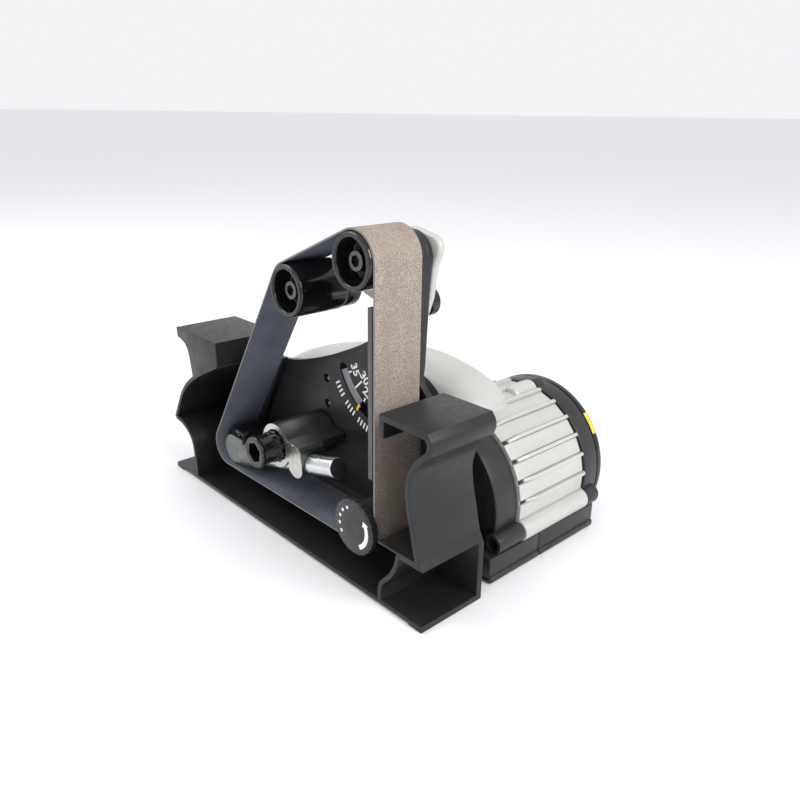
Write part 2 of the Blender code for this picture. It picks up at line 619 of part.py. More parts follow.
def motor():
    """What turns inside the barrel and what holds it."""
    nose = [(22.0, 58.0), (22.0, 46.0), (13.4, 41.0), (9.2, 41.0), (9.2, 58.0)]
    turned("mount_nose", nose, BARREL, "zinc", 28)
    ring("front_bearing", BARREL, 9.0, 4.05, 46.0, 53.0, "steel", 24)
    ring("rear_bearing", BARREL, 8.0, 4.05, 127.3, 130.9, "steel", 24)
    ring("motor_can", BARREL, 23.6, 21.6, 66.0, 108.0, "dark_metal", 32)
    ring("armature", BARREL, 17.5, 4.05, 70.0, 100.0, "steel", 28)
    ring("commutator", BARREL, 9.5, 4.05, 102.0, 110.0, "brass", 24)
    hub = ring("cooling_fan", BARREL, 8.0, 4.05, 59.0, 64.5, "black_plastic", 24)
    for index in range(8):
        blade = block("fan_blade", (6.5, 59.3, -0.8), (20.0, 64.2, 0.8), None)
        blade.data.transform(Matrix.Translation(Vector((13.25 * MM, 0, 0))))
        blade.location = place(BARREL[0], 61.75, BARREL[1])
        blade.rotation_euler = (0, math.tau * index / 8, 0)
        join(hub, blade)
    for name, side in (("brush_left", -1), ("brush_right", 1)):
        near = BARREL[0] + side * 9.9
        far = BARREL[0] + side * 19.0
        block(name, (min(near, far), 103.0, BARREL[1] - 2.5),
              (max(near, far), 109.0, BARREL[1] + 2.5), "graphite")


# The handle's cross-sections: x, top, bottom and half width
HANDLE = [(-34.5, 64.5, 44.0, 14.5), (-38.0, 69.2, 42.0, 17.2), (-42.5, 73.2, 40.0, 18.6),
          (-48.5, 76.8, 40.0, 19.3), (-56.0, 79.7, 42.0, 19.5), (-69.0, 82.4, 46.0, 19.5),
          (-83.0, 83.7, 50.0, 19.5), (-96.0, 83.2, 51.0, 19.5), (-118.0, 80.2, 47.0, 19.5),
          (-142.0, 75.4, 41.0, 19.2), (-166.0, 68.6, 33.0, 18.4), (-186.0, 60.4, 26.0, 17.0),
          (-198.0, 52.6, 24.0, 14.5), (-203.0, 46.5, 27.0, 11.0)]
SEAM = [(-230.0, 24.0), (-203.0, 39.5), (-186.0, 50.5), (-166.0, 59.6), (-142.0, 67.2),
        (-118.0, 72.6), (-96.0, 76.4), (-82.0, 78.0), (-69.0, 77.2), (-57.8, 72.4), (-50.0, 66.0),
        (-30.0, 50.0)]
TRIGGER_PIVOT = (-88.5, 54.0)


def handle_tube(name, finish):
    """The whole grip as a hollow tube of rounded sections, set down over the barrel."""
    around = 20
    build = bmesh.new()
    rows = []
    for x, top, bottom, width in HANDLE:
        row = []
        for index in range(around):
            angle = math.tau * index / around
            across = math.copysign(abs(math.sin(angle)) ** 0.8, math.sin(angle))
            height = math.copysign(abs(math.cos(angle)) ** 0.9, math.cos(angle))
            row.append(build.verts.new((x * MM, width * across * MM,
                                        ((top + bottom) + (top - bottom) * height) / 2 * MM)))
        rows.append(row)
    for first, second in zip(rows, rows[1:]):
        for index in range(around):
            after = (index + 1) % around
            build.faces.new((first[index], first[after], second[after], second[index]))
    build.faces.new(rows[0])
    build.faces.new(rows[-1])
    bmesh.ops.recalc_face_normals(build, faces=build.faces)
    mesh = bpy.data.meshes.new(name)
    build.to_mesh(mesh)
    build.free()
    mesh.shade_smooth()
    mesh.set_sharp_from_angle(angle=math.radians(50))
    tube = add_object(name, mesh, (0, HANDLE_MIDDLE, 0), finish)
    skin = tube.modifiers.new("skin", "SOLIDIFY")
    skin.thickness = HANDLE_SKIN * MM
    return cut(tube, disc(name + "_saddle", BARREL, RIB_RADIUS + 0.5, 40, 140, None, 48))


def handle():
    """The silver upper shell, the black grip under it, and what the grip holds."""
    below = [(x, z + 0.15) for x, z in SEAM] + [(-30.0, -20.0), (-230.0, -20.0)]
    above = [(x, z - 0.15) for x, z in SEAM] + [(20.0, 50.0), (20.0, 120.0), (-230.0, 120.0)]
    shell = handle_tube("handle_top", "silver_plastic")
    cut(shell, prism("below_seam", [below], 50, 115, None))
    grip = handle_tube("handle_grip", "black_plastic")
    cut(grip, prism("above_seam", [above], 50, 115, None),
        block("trigger_slot", (-113.4, HANDLE_MIDDLE - 5.4, 40), (-89.6, HANDLE_MIDDLE + 5.4, 56),
              None),
        bar("gland_hole", (-215, HANDLE_MIDDLE, 34.0), (-190, HANDLE_MIDDLE, 34.0), 4.3, None, 20))
    outline = [(-90.2, 57.5), (-90.6, 47.5), (-96.0, 44.0), (-103.0, 41.5), (-109.5, 39.5),
               (-111.4, 43.5), (-109.6, 57.5)]
    prism("trigger", [outline], HANDLE_MIDDLE - 5.0, HANDLE_MIDDLE + 5.0, "yellow",
          TRIGGER_PIVOT)
    block("switch_block", (-112.0, HANDLE_MIDDLE - 7, 61.8),
          (-88.0, HANDLE_MIDDLE + 7, 72.0), "graphite", 0.6)
    gland = bar("cord_gland", (-207.5, HANDLE_MIDDLE, 34.0), (-197.5, HANDLE_MIDDLE, 34.0), 4.2,
                "rubber", 20)
    join(gland, bar("gland_flange", (-206.8, HANDLE_MIDDLE, 34.0), (-203.4, HANDLE_MIDDLE, 34.0),
                    5.6, None, 20))
    cut(gland, bar("cord_hole", (-215, HANDLE_MIDDLE, 34.0), (-190, HANDLE_MIDDLE, 34.0), 2.6,
                   None, 16))


def plate_screws():
    """The screws behind the plate that hold it to the frame, and the casting to it."""
    for name, spots in (("plate_screw", PLATE_SCREWS), ("casting_screw", CASTING_SCREWS)):
        for index, spot in enumerate(spots):
            profile = [(0, 42.6), (2.0, 42.6), (2.6, 41.8), (2.6, 40.7), (1.05, 40.7),
                       (1.05, 35.0), (0, 35.0)]
            turned(f"{name}_{index + 1}", profile, spot, "dark_metal", 14)


guide_frame()
cassette_plate()
plate_screws()
platen()
idlers()
dial()
tensioner()
belt_drive()
housings()
foot()
motor()
handle()
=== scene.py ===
"""The belt grinder's looks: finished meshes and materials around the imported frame.

Positions come from the frame: each roller's and knob's axis is its joint's, and the drawing's
zero is the right front corner of the base tray, found from the guide frame's box. Lengths in
the shape functions are millimetres in that drawing, and at() turns them into world metres.
"""
import json
import math

import bmesh
import bpy
from mathutils import Matrix, Vector

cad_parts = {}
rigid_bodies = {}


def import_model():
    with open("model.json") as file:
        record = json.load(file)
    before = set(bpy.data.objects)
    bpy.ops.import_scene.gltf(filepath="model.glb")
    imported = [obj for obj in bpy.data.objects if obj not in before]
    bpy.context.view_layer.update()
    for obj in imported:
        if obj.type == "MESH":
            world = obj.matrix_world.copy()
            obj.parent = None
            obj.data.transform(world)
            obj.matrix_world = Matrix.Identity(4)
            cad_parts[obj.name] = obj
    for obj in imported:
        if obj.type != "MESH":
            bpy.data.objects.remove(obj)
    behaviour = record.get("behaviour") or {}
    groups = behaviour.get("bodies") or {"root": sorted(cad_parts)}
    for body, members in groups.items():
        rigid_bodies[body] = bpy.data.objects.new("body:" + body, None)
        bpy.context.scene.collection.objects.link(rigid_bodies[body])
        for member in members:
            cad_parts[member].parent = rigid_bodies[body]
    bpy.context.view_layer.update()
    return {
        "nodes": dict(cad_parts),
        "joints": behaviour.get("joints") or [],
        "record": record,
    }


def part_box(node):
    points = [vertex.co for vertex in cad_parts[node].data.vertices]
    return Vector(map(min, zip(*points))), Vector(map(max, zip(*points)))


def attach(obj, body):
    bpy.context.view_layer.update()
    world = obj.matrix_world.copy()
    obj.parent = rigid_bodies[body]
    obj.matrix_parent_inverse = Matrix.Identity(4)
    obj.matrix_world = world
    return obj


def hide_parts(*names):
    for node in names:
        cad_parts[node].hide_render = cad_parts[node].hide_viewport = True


for stray in list(bpy.data.objects):
    bpy.data.objects.remove(stray, do_unlink=True)
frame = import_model()
JOINTS = {joint["name"]: joint for joint in frame["joints"]}
MM = 0.001
BASE_LENGTH = 207.9

frame_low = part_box("guide_frame")[0]
ZERO = Vector((frame_low.x + BASE_LENGTH * MM, frame_low.y, 0.0))


def at(x, y, z):
    """A point of the drawing, in world metres."""
    return ZERO + Vector((x, y, z)) * MM


def drawn(joint):
    """A joint's axis as (x, z) in the drawing's millimetres."""
    spot = (Vector(JOINTS[joint]["pos_m"]) - ZERO) / MM
    return (spot.x, spot.z)


DRIVE = drawn("drive_spin")
TOP = drawn("top_roller_spin")
LEFT = drawn("left_roller_spin")
CORNER = drawn("small_roller_spin")
HUB = drawn("tension_key_turn")
TRACKING = drawn("tracking_turn")
DIAL = drawn("angle_set")
ROD_DIRECTION = Vector(JOINTS["tension_slide"]["axis"])

# ------------------------------------------------------------------ camera and studio

CAMERA_PLACE = (177.79, -179.47, 199.06)
CAMERA_AZIMUTH = math.radians(46.98)
CAMERA_ELEVATION = math.radians(21.01)
CAMERA_ROLL = math.radians(0.74)
CAMERA_LENS = 33.895
STUDIO_MIDDLE = (0.0, 0.0, 0.06)
TABLE_SIZE = 60.0


def make_camera():
    data = bpy.data.cameras.new("camera")
    camera = bpy.data.objects.new("camera", data)
    bpy.context.scene.collection.objects.link(camera)
    data.lens = CAMERA_LENS
    data.sensor_width = 36.0
    data.clip_start = 0.01
    data.clip_end = 50.0
    across, along = math.sin(CAMERA_AZIMUTH), math.cos(CAMERA_AZIMUTH)
    level, rise = math.cos(CAMERA_ELEVATION), math.sin(CAMERA_ELEVATION)
    ahead = Vector((-across * level, along * level, -rise))
    right = Vector((along, across, 0.0))
    up = right.cross(ahead)
    tilted_right = right * math.cos(CAMERA_ROLL) + up * math.sin(CAMERA_ROLL)
    tilted_up = up * math.cos(CAMERA_ROLL) - right * math.sin(CAMERA_ROLL)
    turn = Matrix((tilted_right, tilted_up, -ahead)).transposed()
    camera.matrix_world = Matrix.Translation(at(*CAMERA_PLACE)) @ turn.to_4x4()
    bpy.context.scene.camera = camera


def area_light(name, place, size, power):
    """A soft box that faces the middle of the object."""
    data = bpy.data.lights.new(name, "AREA")
    data.shape = "RECTANGLE"
    data.size, data.size_y = size
    data.energy = power
    light = bpy.data.objects.new(name, data)
    bpy.context.scene.collection.objects.link(light)
    light.location = place
    aim = Vector(STUDIO_MIDDLE) - Vector(place)
    light.rotation_euler = aim.to_track_quat("-Z", "Y").to_euler()


def make_studio():
    """A white table, a white surround, and three soft boxes."""
    world = bpy.data.worlds.new("studio")
    bpy.context.scene.world = world
    world.use_nodes = True
    background = world.node_tree.nodes["Background"]
    background.inputs["Color"].default_value = (0.97, 0.98, 1.0, 1.0)
    background.inputs["Strength"].default_value = 0.92
    area_light("key_box", (-0.75, -0.55, 1.05), (0.7, 0.7), 6.0)
    area_light("side_box", (1.05, 0.15, 0.75), (0.8, 0.6), 11.0)
    area_light("front_box", (0.25, -1.3, 0.9), (0.9, 0.5), 3.0)
    build = bmesh.new()
    bmesh.ops.create_grid(build, x_segments=2, y_segments=2, size=TABLE_SIZE)
    mesh = mesh_from("table", build)
    table = bpy.data.objects.new("table", mesh)
    bpy.context.scene.collection.objects.link(table)
    table.location = (0.0, 0.0, -0.0002)
    paint = bpy.data.materials.new("table_white")
    paint.use_nodes = True
    shader = paint.node_tree.nodes["Principled BSDF"]
    shader.inputs["Base Color"].default_value = (0.86, 0.86, 0.87, 1.0)
    shader.inputs["Roughness"].default_value = 0.6
    mesh.materials.append(paint)
    bpy.context.scene.view_settings.view_transform = "Standard"
    bpy.context.scene.view_settings.look = "None"


# ------------------------------------------------------------------ materials


class Nodes:
    """A material with its shader, and short calls for the nodes that feed it."""

    def __init__(self, name, colour, roughness, metallic=0.0):
        self.material = bpy.data.materials.new(name)
        self.material.use_nodes = True
        self.tree = self.material.node_tree
        self.shader = self.tree.nodes["Principled BSDF"]
        self.shader.inputs["Base Color"].default_value = (*colour, 1.0)
        self.shader.inputs["Roughness"].default_value = roughness
        self.shader.inputs["Metallic"].default_value = metallic
        self.coordinates = self.tree.nodes.new("ShaderNodeTexCoord").outputs["Object"]

    def link(self, source, target):
        self.tree.links.new(source, target)

    def node(self, kind, **inputs):
        """A new node with some of its inputs set."""
        made = self.tree.nodes.new("ShaderNode" + kind)
        for name, value in inputs.items():
            made.inputs[name].default_value = value
        return made

    def noise(self, scale, detail=2.0, stretch=(1.0, 1.0, 1.0)):
        mapping = self.node("Mapping", Scale=stretch)
        texture = self.node("TexNoise", Scale=scale, Detail=detail)
        self.link(self.coordinates, mapping.inputs["Vector"])
        self.link(mapping.outputs["Vector"], texture.inputs["Vector"])
        return texture.outputs["Fac"]

    def ramp(self, source, stops):
        """Grey or colour stops as (place, value) read from a 0 to 1 source."""
        ramp = self.node("ValToRGB")
        while len(ramp.color_ramp.elements) < len(stops):
            ramp.color_ramp.elements.new(0.5)
        for element, (place, value) in zip(ramp.color_ramp.elements, stops):
            element.position = place
            colour = value if isinstance(value, tuple) else (value, value, value)
            element.color = (*colour, 1.0)
        self.link(source, ramp.inputs["Fac"])
        return ramp.outputs["Color"]

    def mix(self, factor, first, second):
        mixer = self.node("Mix")
        mixer.data_type = "RGBA"
        for source, socket in ((factor, mixer.inputs[0]), (first, mixer.inputs[6]),
                               (second, mixer.inputs[7])):
            if isinstance(source, bpy.types.NodeSocket):
                self.link(source, socket)
            elif socket is mixer.inputs[0]:
                socket.default_value = source
            else:
                socket.default_value = (*source, 1.0)
        return mixer.outputs[2]

    def colour(self, source):
        self.link(source, self.shader.inputs["Base Color"])

    def roughness(self, source):
        self.link(source, self.shader.inputs["Roughness"])

    def bump(self, source, depth):
        """Stacks a bump of a given depth in metres on what is there already."""
        bump = self.node("Bump", Distance=depth, Strength=1.0)
        self.link(source, bump.inputs["Height"])
        socket = self.shader.inputs["Normal"]
        if socket.is_linked:
            self.link(socket.links[0].from_socket, bump.inputs["Normal"])
        self.link(bump.outputs["Normal"], socket)


def moulded(name, colour, roughness, grain=0.00004, grain_scale=2600.0, tone=0.18, coat=0.0):
    """Moulded plastic: fine spark-eroded grain, faint cloudiness and handling marks."""
    made = Nodes(name, colour, roughness)
    clouds = made.noise(55.0, 3.0)
    dark = tuple(c * (1.0 - tone) for c in colour)
    light = tuple(min(1.0, c * (1.0 + tone)) for c in colour)
    made.colour(made.mix(clouds, dark, light))
    grains = made.noise(grain_scale, 2.0)
    marks = made.noise(260.0, 4.0, (1.0, 1.0, 0.35))
    made.roughness(made.ramp(marks, [(0.3, max(0.05, roughness - 0.07)),
                                     (0.75, min(1.0, roughness + 0.08))]))
    made.bump(grains, grain)
    made.shader.inputs["Specular IOR Level"].default_value = 0.35
    if coat:
        made.shader.inputs["Coat Weight"].default_value = coat
        made.shader.inputs["Coat Roughness"].default_value = 0.12
    return made.material


def metal(name, colour, roughness, brushed=(1.0, 1.0, 1.0), tone=0.25, pits=0.0):
    """Bare or plated metal: directional tooling marks, uneven tarnish, sometimes pits."""
    made = Nodes(name, colour, roughness, 1.0)
    tarnish = made.noise(120.0, 4.0)
    dark = tuple(c * (1.0 - tone) for c in colour)
    made.colour(made.mix(tarnish, dark, tuple(min(1.0, c * (1.0 + tone / 2)) for c in colour)))
    lines = made.noise(900.0, 3.0, brushed)
    made.roughness(made.ramp(lines, [(0.3, max(0.04, roughness - 0.08)),
                                     (0.75, min(1.0, roughness + 0.12))]))
    made.bump(lines, 0.000015)
    if pits:
        made.bump(made.noise(420.0, 3.0), pits)
    return made.material


def make_abrasive():
    """The working side: tan abrasive over a twill backing, in fine diagonal rows."""
    made = Nodes("abrasive_face", (0.30, 0.235, 0.19), 0.92)
    uv = made.node("UVMap").outputs["UV"]
    rows = made.node("TexWave", Scale=410.0, Distortion=1.2, Detail=1.0)
    rows.wave_type = "BANDS"
    rows.bands_direction = "DIAGONAL"
    made.link(uv, rows.inputs["Vector"])
    grit = made.noise(2300.0, 3.0)
    worn = made.noise(90.0, 4.0, (1.0, 1.0, 0.5))
    weave = made.mix(rows.outputs["Fac"], (0.165, 0.125, 0.10), (0.285, 0.23, 0.185))
    speckled = made.mix(made.ramp(grit, [(0.42, 0.0), (0.62, 1.0)]), weave, (0.40, 0.345, 0.30))
    made.colour(made.mix(made.ramp(worn, [(0.35, 0.0), (0.75, 0.45)]), speckled,
                         (0.195, 0.158, 0.135)))
    made.bump(grit, 0.00012)
    made.bump(rows.outputs["Fac"], 0.00006)
    return made.material


def make_belt_back():
    """The back of the belt: slate blue cloth with polish marks from the rollers."""
    made = Nodes("belt_back", (0.13, 0.135, 0.20), 0.62)
    uv = made.node("UVMap").outputs["UV"]
    long_way = made.node("Mapping", Scale=(9.0, 210.0, 1.0))
    scratches = made.node("TexNoise", Scale=6.0, Detail=5.0)
    made.link(uv, long_way.inputs["Vector"])
    made.link(long_way.outputs["Vector"], scratches.inputs["Vector"])
    cloth = made.noise(2600.0, 2.0)
    blotch = made.noise(70.0, 4.0)
    base = made.mix(blotch, (0.085, 0.092, 0.125), (0.175, 0.185, 0.23))
    lines = made.ramp(scratches.outputs["Fac"], [(0.60, 0.0), (0.72, 0.35)])
    made.colour(made.mix(lines, base, (0.34, 0.35, 0.43)))
    made.bump(cloth, 0.00003)
    made.bump(scratches.outputs["Fac"], 0.00004)
    return made.material


def make_silver():
    """Warm silver-grey paint on a moulding, with a fine pearl and scuffs that vary its roughness.
    """
    made = Nodes("silver_moulding", (0.46, 0.47, 0.44), 0.36, 0.12)
    clouds = made.noise(60.0, 3.0)
    pearl = made.noise(5200.0, 1.0)
    base = made.mix(clouds, (0.42, 0.43, 0.40), (0.50, 0.51, 0.475))
    made.colour(made.mix(made.ramp(pearl, [(0.55, 0.0), (0.7, 0.5)]), base, (0.62, 0.62, 0.59)))
    scuffs = made.noise(240.0, 5.0, (1.0, 0.2, 1.0))
    made.roughness(made.ramp(scuffs, [(0.3, 0.28), (0.75, 0.46)]))
    made.bump(made.noise(1800.0, 2.0), 0.000025)
    return made.material


FINISH = {
    "frame": moulded("frame_plastic", (0.012, 0.012, 0.013), 0.38, 0.00006, 2200.0),
    "housing": moulded("housing_plastic", (0.021, 0.020, 0.022), 0.36, 0.00003, 2600.0),
    "plate": moulded("plate_plastic", (0.014, 0.0145, 0.016), 0.38, 0.00003, 2400.0),
    "gloss": moulded("gloss_plastic", (0.006, 0.006, 0.007), 0.12, 0.000008, 900.0, 0.1, 0.4),
    "rim": moulded("rim_plastic", (0.03, 0.03, 0.031), 0.30, 0.00002, 2600.0),
    "rubber": moulded("soft_rubber", (0.018, 0.018, 0.018), 0.72, 0.00006, 1800.0),
    "yellow": moulded("yellow_plastic", (0.82, 0.55, 0.05), 0.42, 0.00003, 2400.0, 0.06),
    "white": moulded("white_print", (0.80, 0.80, 0.78), 0.55, 0.00001, 3000.0, 0.03),
    "graphite": moulded("graphite_pad", (0.020, 0.020, 0.022), 0.78, 0.00012, 2600.0, 0.5),
    "silver": make_silver(),
    "dark": metal("black_oxide", (0.13, 0.13, 0.135), 0.34, (1.0, 8.0, 1.0)),
    "steel": metal("ground_steel", (0.66, 0.65, 0.63), 0.20, (0.3, 1.0, 1.0), 0.3, 0.00002),
    "bright": metal("turned_steel", (0.72, 0.71, 0.69), 0.16, (1.0, 0.1, 1.0), 0.15),
    "zinc": metal("zinc_casting", (0.20, 0.215, 0.20), 0.36, (1.0, 1.0, 1.0), 0.35, 0.00004),
    "shutter": moulded("grey_strip", (0.22, 0.22, 0.235), 0.40, 0.00003, 2600.0),
    "copper": metal("copper_bars", (0.60, 0.36, 0.18), 0.30),
    "abrasive": make_abrasive(),
    "belt_back": make_belt_back(),
    "grip": moulded("grip_plastic", (0.030, 0.030, 0.031), 0.58, 0.00008, 1500.0),
    "belt_edge": moulded("belt_edge", (0.20, 0.19, 0.185), 0.85, 0.00004, 2600.0, 0.3),
    "milled": metal("milled_zinc", (0.62, 0.62, 0.57), 0.30, (1.0, 1.0, 1.0), 0.35, 0.00005),
    "ground": metal("ground_rod", (0.70, 0.71, 0.72), 0.22, (0.25, 1.0, 1.0), 0.2),
}


# ------------------------------------------------------------------ shapes

PARTS = bpy.data.collections.new("finished_parts")
bpy.context.scene.collection.children.link(PARTS)


def mesh_from(name, build):
    """The mesh of a finished build."""
    mesh = bpy.data.meshes.new(name)
    build.to_mesh(mesh)
    build.free()
    return mesh


def shade(mesh, degrees=32):
    mesh.shade_smooth()
    mesh.set_sharp_from_angle(angle=math.radians(degrees))


def add(name, mesh, finish):
    """A shape in world coordinates; one that only cuts or joins has no finish."""
    shape = bpy.data.objects.new(name, mesh)
    PARTS.objects.link(shape)
    if finish:
        mesh.materials.append(FINISH[finish])
    return shape


def clean(mesh, degrees=32):
    build = bmesh.new()
    build.from_mesh(mesh)
    bmesh.ops.remove_doubles(build, verts=build.verts, dist=1e-7)
    bmesh.ops.dissolve_degenerate(build, edges=build.edges, dist=1e-7)
    bmesh.ops.recalc_face_normals(build, faces=build.faces)
    build.to_mesh(mesh)
    build.free()
    shade(mesh, degrees)


def settle(shape, degrees=32):
    """Applies the modifiers that a shape carries."""
    bpy.context.view_layer.update()
    graph = bpy.context.evaluated_depsgraph_get()
    mesh = bpy.data.meshes.new_from_object(shape.evaluated_get(graph))
    shape.modifiers.clear()
    shape.data = mesh
    clean(mesh, degrees)
    return shape


def combine(target, others, operation):
    """A boolean of one shape with others, which are used up."""
    for other in others:
        modifier = target.modifiers.new(operation, "BOOLEAN")
        modifier.operation = operation
        modifier.object = other
    settle(target)
    for other in others:
        bpy.data.objects.remove(other, do_unlink=True)
    return target


def cut(target, *others):
    return combine(target, others, "DIFFERENCE")


def join(target, *others):
    return combine(target, others, "UNION")


def gather(name, shapes, body, slot, *nodes):
    """Several closed shapes made one piece, each with its own finish, on a body."""
    build = bmesh.new()
    materials = []
    for shape in shapes:
        start = len(build.faces)
        build.from_mesh(shape.data)
        build.faces.ensure_lookup_table()
        own = []
        for paint in shape.data.materials:
            if paint not in materials:
                materials.append(paint)
            own.append(materials.index(paint))
        for face in build.faces[start:]:
            face.material_index = own[face.material_index]
    mesh = mesh_from(name, build)
    for paint in materials:
        mesh.materials.append(paint)
    for shape in shapes:
        bpy.data.objects.remove(shape, do_unlink=True)
    piece = bpy.data.objects.new(name, mesh)
    PARTS.objects.link(piece)
    shade(mesh)
    return fit(piece, body, slot, *nodes)


def fixed(name, shapes, slot, *nodes):
    """A piece on the body that doesn't move."""
    return gather(name, shapes, "grinder_body", slot, *nodes)


def soften(shape, voxel, passes):
    """Melts a casting's joined shapes together, so that its inner corners are rounded."""
    remesh = shape.modifiers.new("melt", "REMESH")
    remesh.mode = "VOXEL"
    remesh.voxel_size = voxel * MM
    smooth = shape.modifiers.new("relax", "SMOOTH")
    smooth.factor = 0.5
    smooth.iterations = passes
    settle(shape, 40)
    return shape


def finish_all(mesh, finish):
    """One finish in place of whatever the mesh has."""
    mesh.materials.clear()
    mesh.materials.append(FINISH[finish])


def repaint(shape, finish, keep):
    """Gives a second finish to the faces whose middle and normal pass a test."""
    shape.data.materials.append(FINISH[finish])
    index = len(shape.data.materials) - 1
    for face in shape.data.polygons:
        spot = (face.center - ZERO) / MM
        if keep(spot, face.normal):
            face.material_index = index


def mesh_of(name, curve):
    """The mesh that a curve fills and extrudes to."""
    guide = bpy.data.objects.new(name + "_outline", curve)
    PARTS.objects.link(guide)
    bpy.context.view_layer.update()
    graph = bpy.context.evaluated_depsgraph_get()
    mesh = bpy.data.meshes.new_from_object(guide.evaluated_get(graph))
    bpy.data.objects.remove(guide, do_unlink=True)
    mesh.materials.clear()
    return mesh


def prism(name, loops, front, back, finish, bevel=0.3, rounds=2):
    """A flat outline in XZ swept from front to back, with rounded edges; more loops are holes."""
    bevel = min(bevel, (back - front) / 2.2)
    curve = bpy.data.curves.new(name, "CURVE")
    curve.dimensions = "2D"
    curve.fill_mode = "BOTH"
    curve.extrude = ((back - front) / 2 - bevel) * MM
    curve.bevel_depth = bevel * MM
    curve.bevel_resolution = rounds
    curve.offset = -bevel * MM
    for loop in loops:
        spline = curve.splines.new("POLY")
        spline.points.add(len(loop) - 1)
        spline.use_cyclic_u = True
        for point, (x, z) in zip(spline.points, loop):
            point.co = (x * MM, z * MM, 0.0, 1.0)
    mesh = mesh_of(name, curve)
    mesh.transform(Matrix.Rotation(math.radians(90), 4, "X"))
    mesh.transform(Matrix.Translation(at(0, (front + back) / 2, 0)))
    clean(mesh)
    return add(name, mesh, finish)


CORNER_STEPS = 3


def rounded(profile, radius):
    """A profile of (radius, depth) points with its inner corners rounded."""
    result = [profile[0]]
    for before, here, after in zip(profile, profile[1:], profile[2:]):
        a, b, c = Vector(before), Vector(here), Vector(after)
        reach = min(radius, (a - b).length * 0.45, (c - b).length * 0.45)
        if reach < 0.02:
            result.append(here)
            continue
        start = b + (a - b).normalized() * reach
        end = b + (c - b).normalized() * reach
        for step in range(CORNER_STEPS + 1):
            t = step / CORNER_STEPS
            result.append(tuple(start * (1 - t) ** 2 + b * 2 * t * (1 - t) + end * t * t))
    result.append(profile[-1])
    return result


def lathe(name, profile, axis, finish, corner=0.25, steps=72):
    """A profile of (radius, depth) turned about a line along Y; radius 0 ends close it."""
    line = rounded(profile, corner) if corner else profile
    closed = profile[0][0] > 0
    if closed:
        line = rounded(profile[-1:] + profile + profile[:1], corner)[1:-1] if corner else line
    build = bmesh.new()
    rings = []
    for radius, depth in line:
        if radius < 1e-6:
            rings.append([build.verts.new(at(axis[0], depth, axis[1]))])
            continue
        ring = []
        for index in range(steps):
            angle = math.tau * index / steps
            ring.append(build.verts.new(at(axis[0] + radius * math.cos(angle), depth,
                                           axis[1] + radius * math.sin(angle))))
        rings.append(ring)
    pairs = list(zip(rings, rings[1:])) + ([(rings[-1], rings[0])] if closed else [])
    for first, second in pairs:
        for index in range(steps):
            after = (index + 1) % steps
            corners = [first[index % len(first)], first[after % len(first)],
                       second[after % len(second)], second[index % len(second)]]
            corners = list(dict.fromkeys(corners))
            if len(corners) > 2:
                build.faces.new(corners)
    mesh = mesh_from(name, build)
    clean(mesh, 28)
    return add(name, mesh, finish)


def plug(name, radius, first, last, axis, finish, corner=0.25, steps=72):
    """A solid cylinder along Y, from one depth to another."""
    profile = [(0, first), (radius, first), (radius, last), (0, last)]
    return lathe(name, profile, axis, finish, corner, steps)


def pipe(name, outer, inner, back, front, axis, finish, corner=0.25, steps=72):
    """A cylinder along Y with a bore through it."""
    profile = [(outer, back), (outer, front), (inner, front), (inner, back)]
    return lathe(name, profile, axis, finish, corner, steps)


def box(name, low, high, finish, bevel=0.3):
    build = bmesh.new()
    bmesh.ops.create_cube(build, size=1.0)
    size = [(b - a) * MM for a, b in zip(low, high)]
    bmesh.ops.scale(build, verts=build.verts, vec=size)
    if bevel:
        bmesh.ops.bevel(build, geom=build.edges, offset=bevel * MM, segments=3, affect="EDGES",
                        profile=0.5)
    middle = [(a + b) / 2 for a, b in zip(low, high)]
    bmesh.ops.translate(build, verts=build.verts, vec=at(*middle))
    mesh = mesh_from(name, build)
    clean(mesh)
    return add(name, mesh, finish)


def bar(name, first, second, radius, finish, steps=48, bevel=0.4, turn=0.0):
    """A round or many-sided bar between two points of the drawing."""
    start, end = Vector(first), Vector(second)
    build = bmesh.new()
    bmesh.ops.create_cone(build, cap_ends=True, segments=steps, radius1=radius * MM,
                          radius2=radius * MM, depth=(end - start).length * MM)
    if bevel:
        edges = [e for e in build.edges if abs(e.verts[0].co.z - e.verts[1].co.z) < 1e-9]
        bmesh.ops.bevel(build, geom=edges, offset=bevel * MM, segments=3, affect="EDGES",
                        profile=0.5)
    aim = (end - start).to_track_quat("Z", "Y").to_matrix().to_4x4()
    move = Matrix.Translation(at(*((start + end) / 2))) @ aim @ Matrix.Rotation(turn, 4, "Z")
    bmesh.ops.transform(build, verts=build.verts, matrix=move)
    mesh = mesh_from(name, build)
    clean(mesh)
    return add(name, mesh, finish)


def hex_socket(axis, first, last, radius, degrees=0):
    """The six-sided hole for a key, to be cut out."""
    return bar("key", (axis[0], first, axis[1]), (axis[0], last, axis[1]), radius, None, 6, 0.0,
               math.radians(degrees))


def polar(centre, radius, angle):
    """A point on a circle, by angle in degrees from +X towards +Z."""
    turn = math.radians(angle)
    return (centre[0] + radius * math.cos(turn), centre[1] + radius * math.sin(turn))


def arc(centre, radius, start, end, count):
    return [polar(centre, radius, start + (end - start) * index / count)
            for index in range(count + 1)]


def sector(centre, outer, inner, start, end, count):
    """The outline of a piece of a ring."""
    return arc(centre, outer, start, end, count) + arc(centre, inner, end, start, count)


def between(a, b, c, d, t):
    """A Catmull-Rom step from b to c, for numbers or vectors."""
    return 0.5 * ((2 * b) + (c - a) * t + (2 * a - 5 * b + 4 * c - d) * t * t
                  + (3 * b - a - 3 * c + d) * t ** 3)


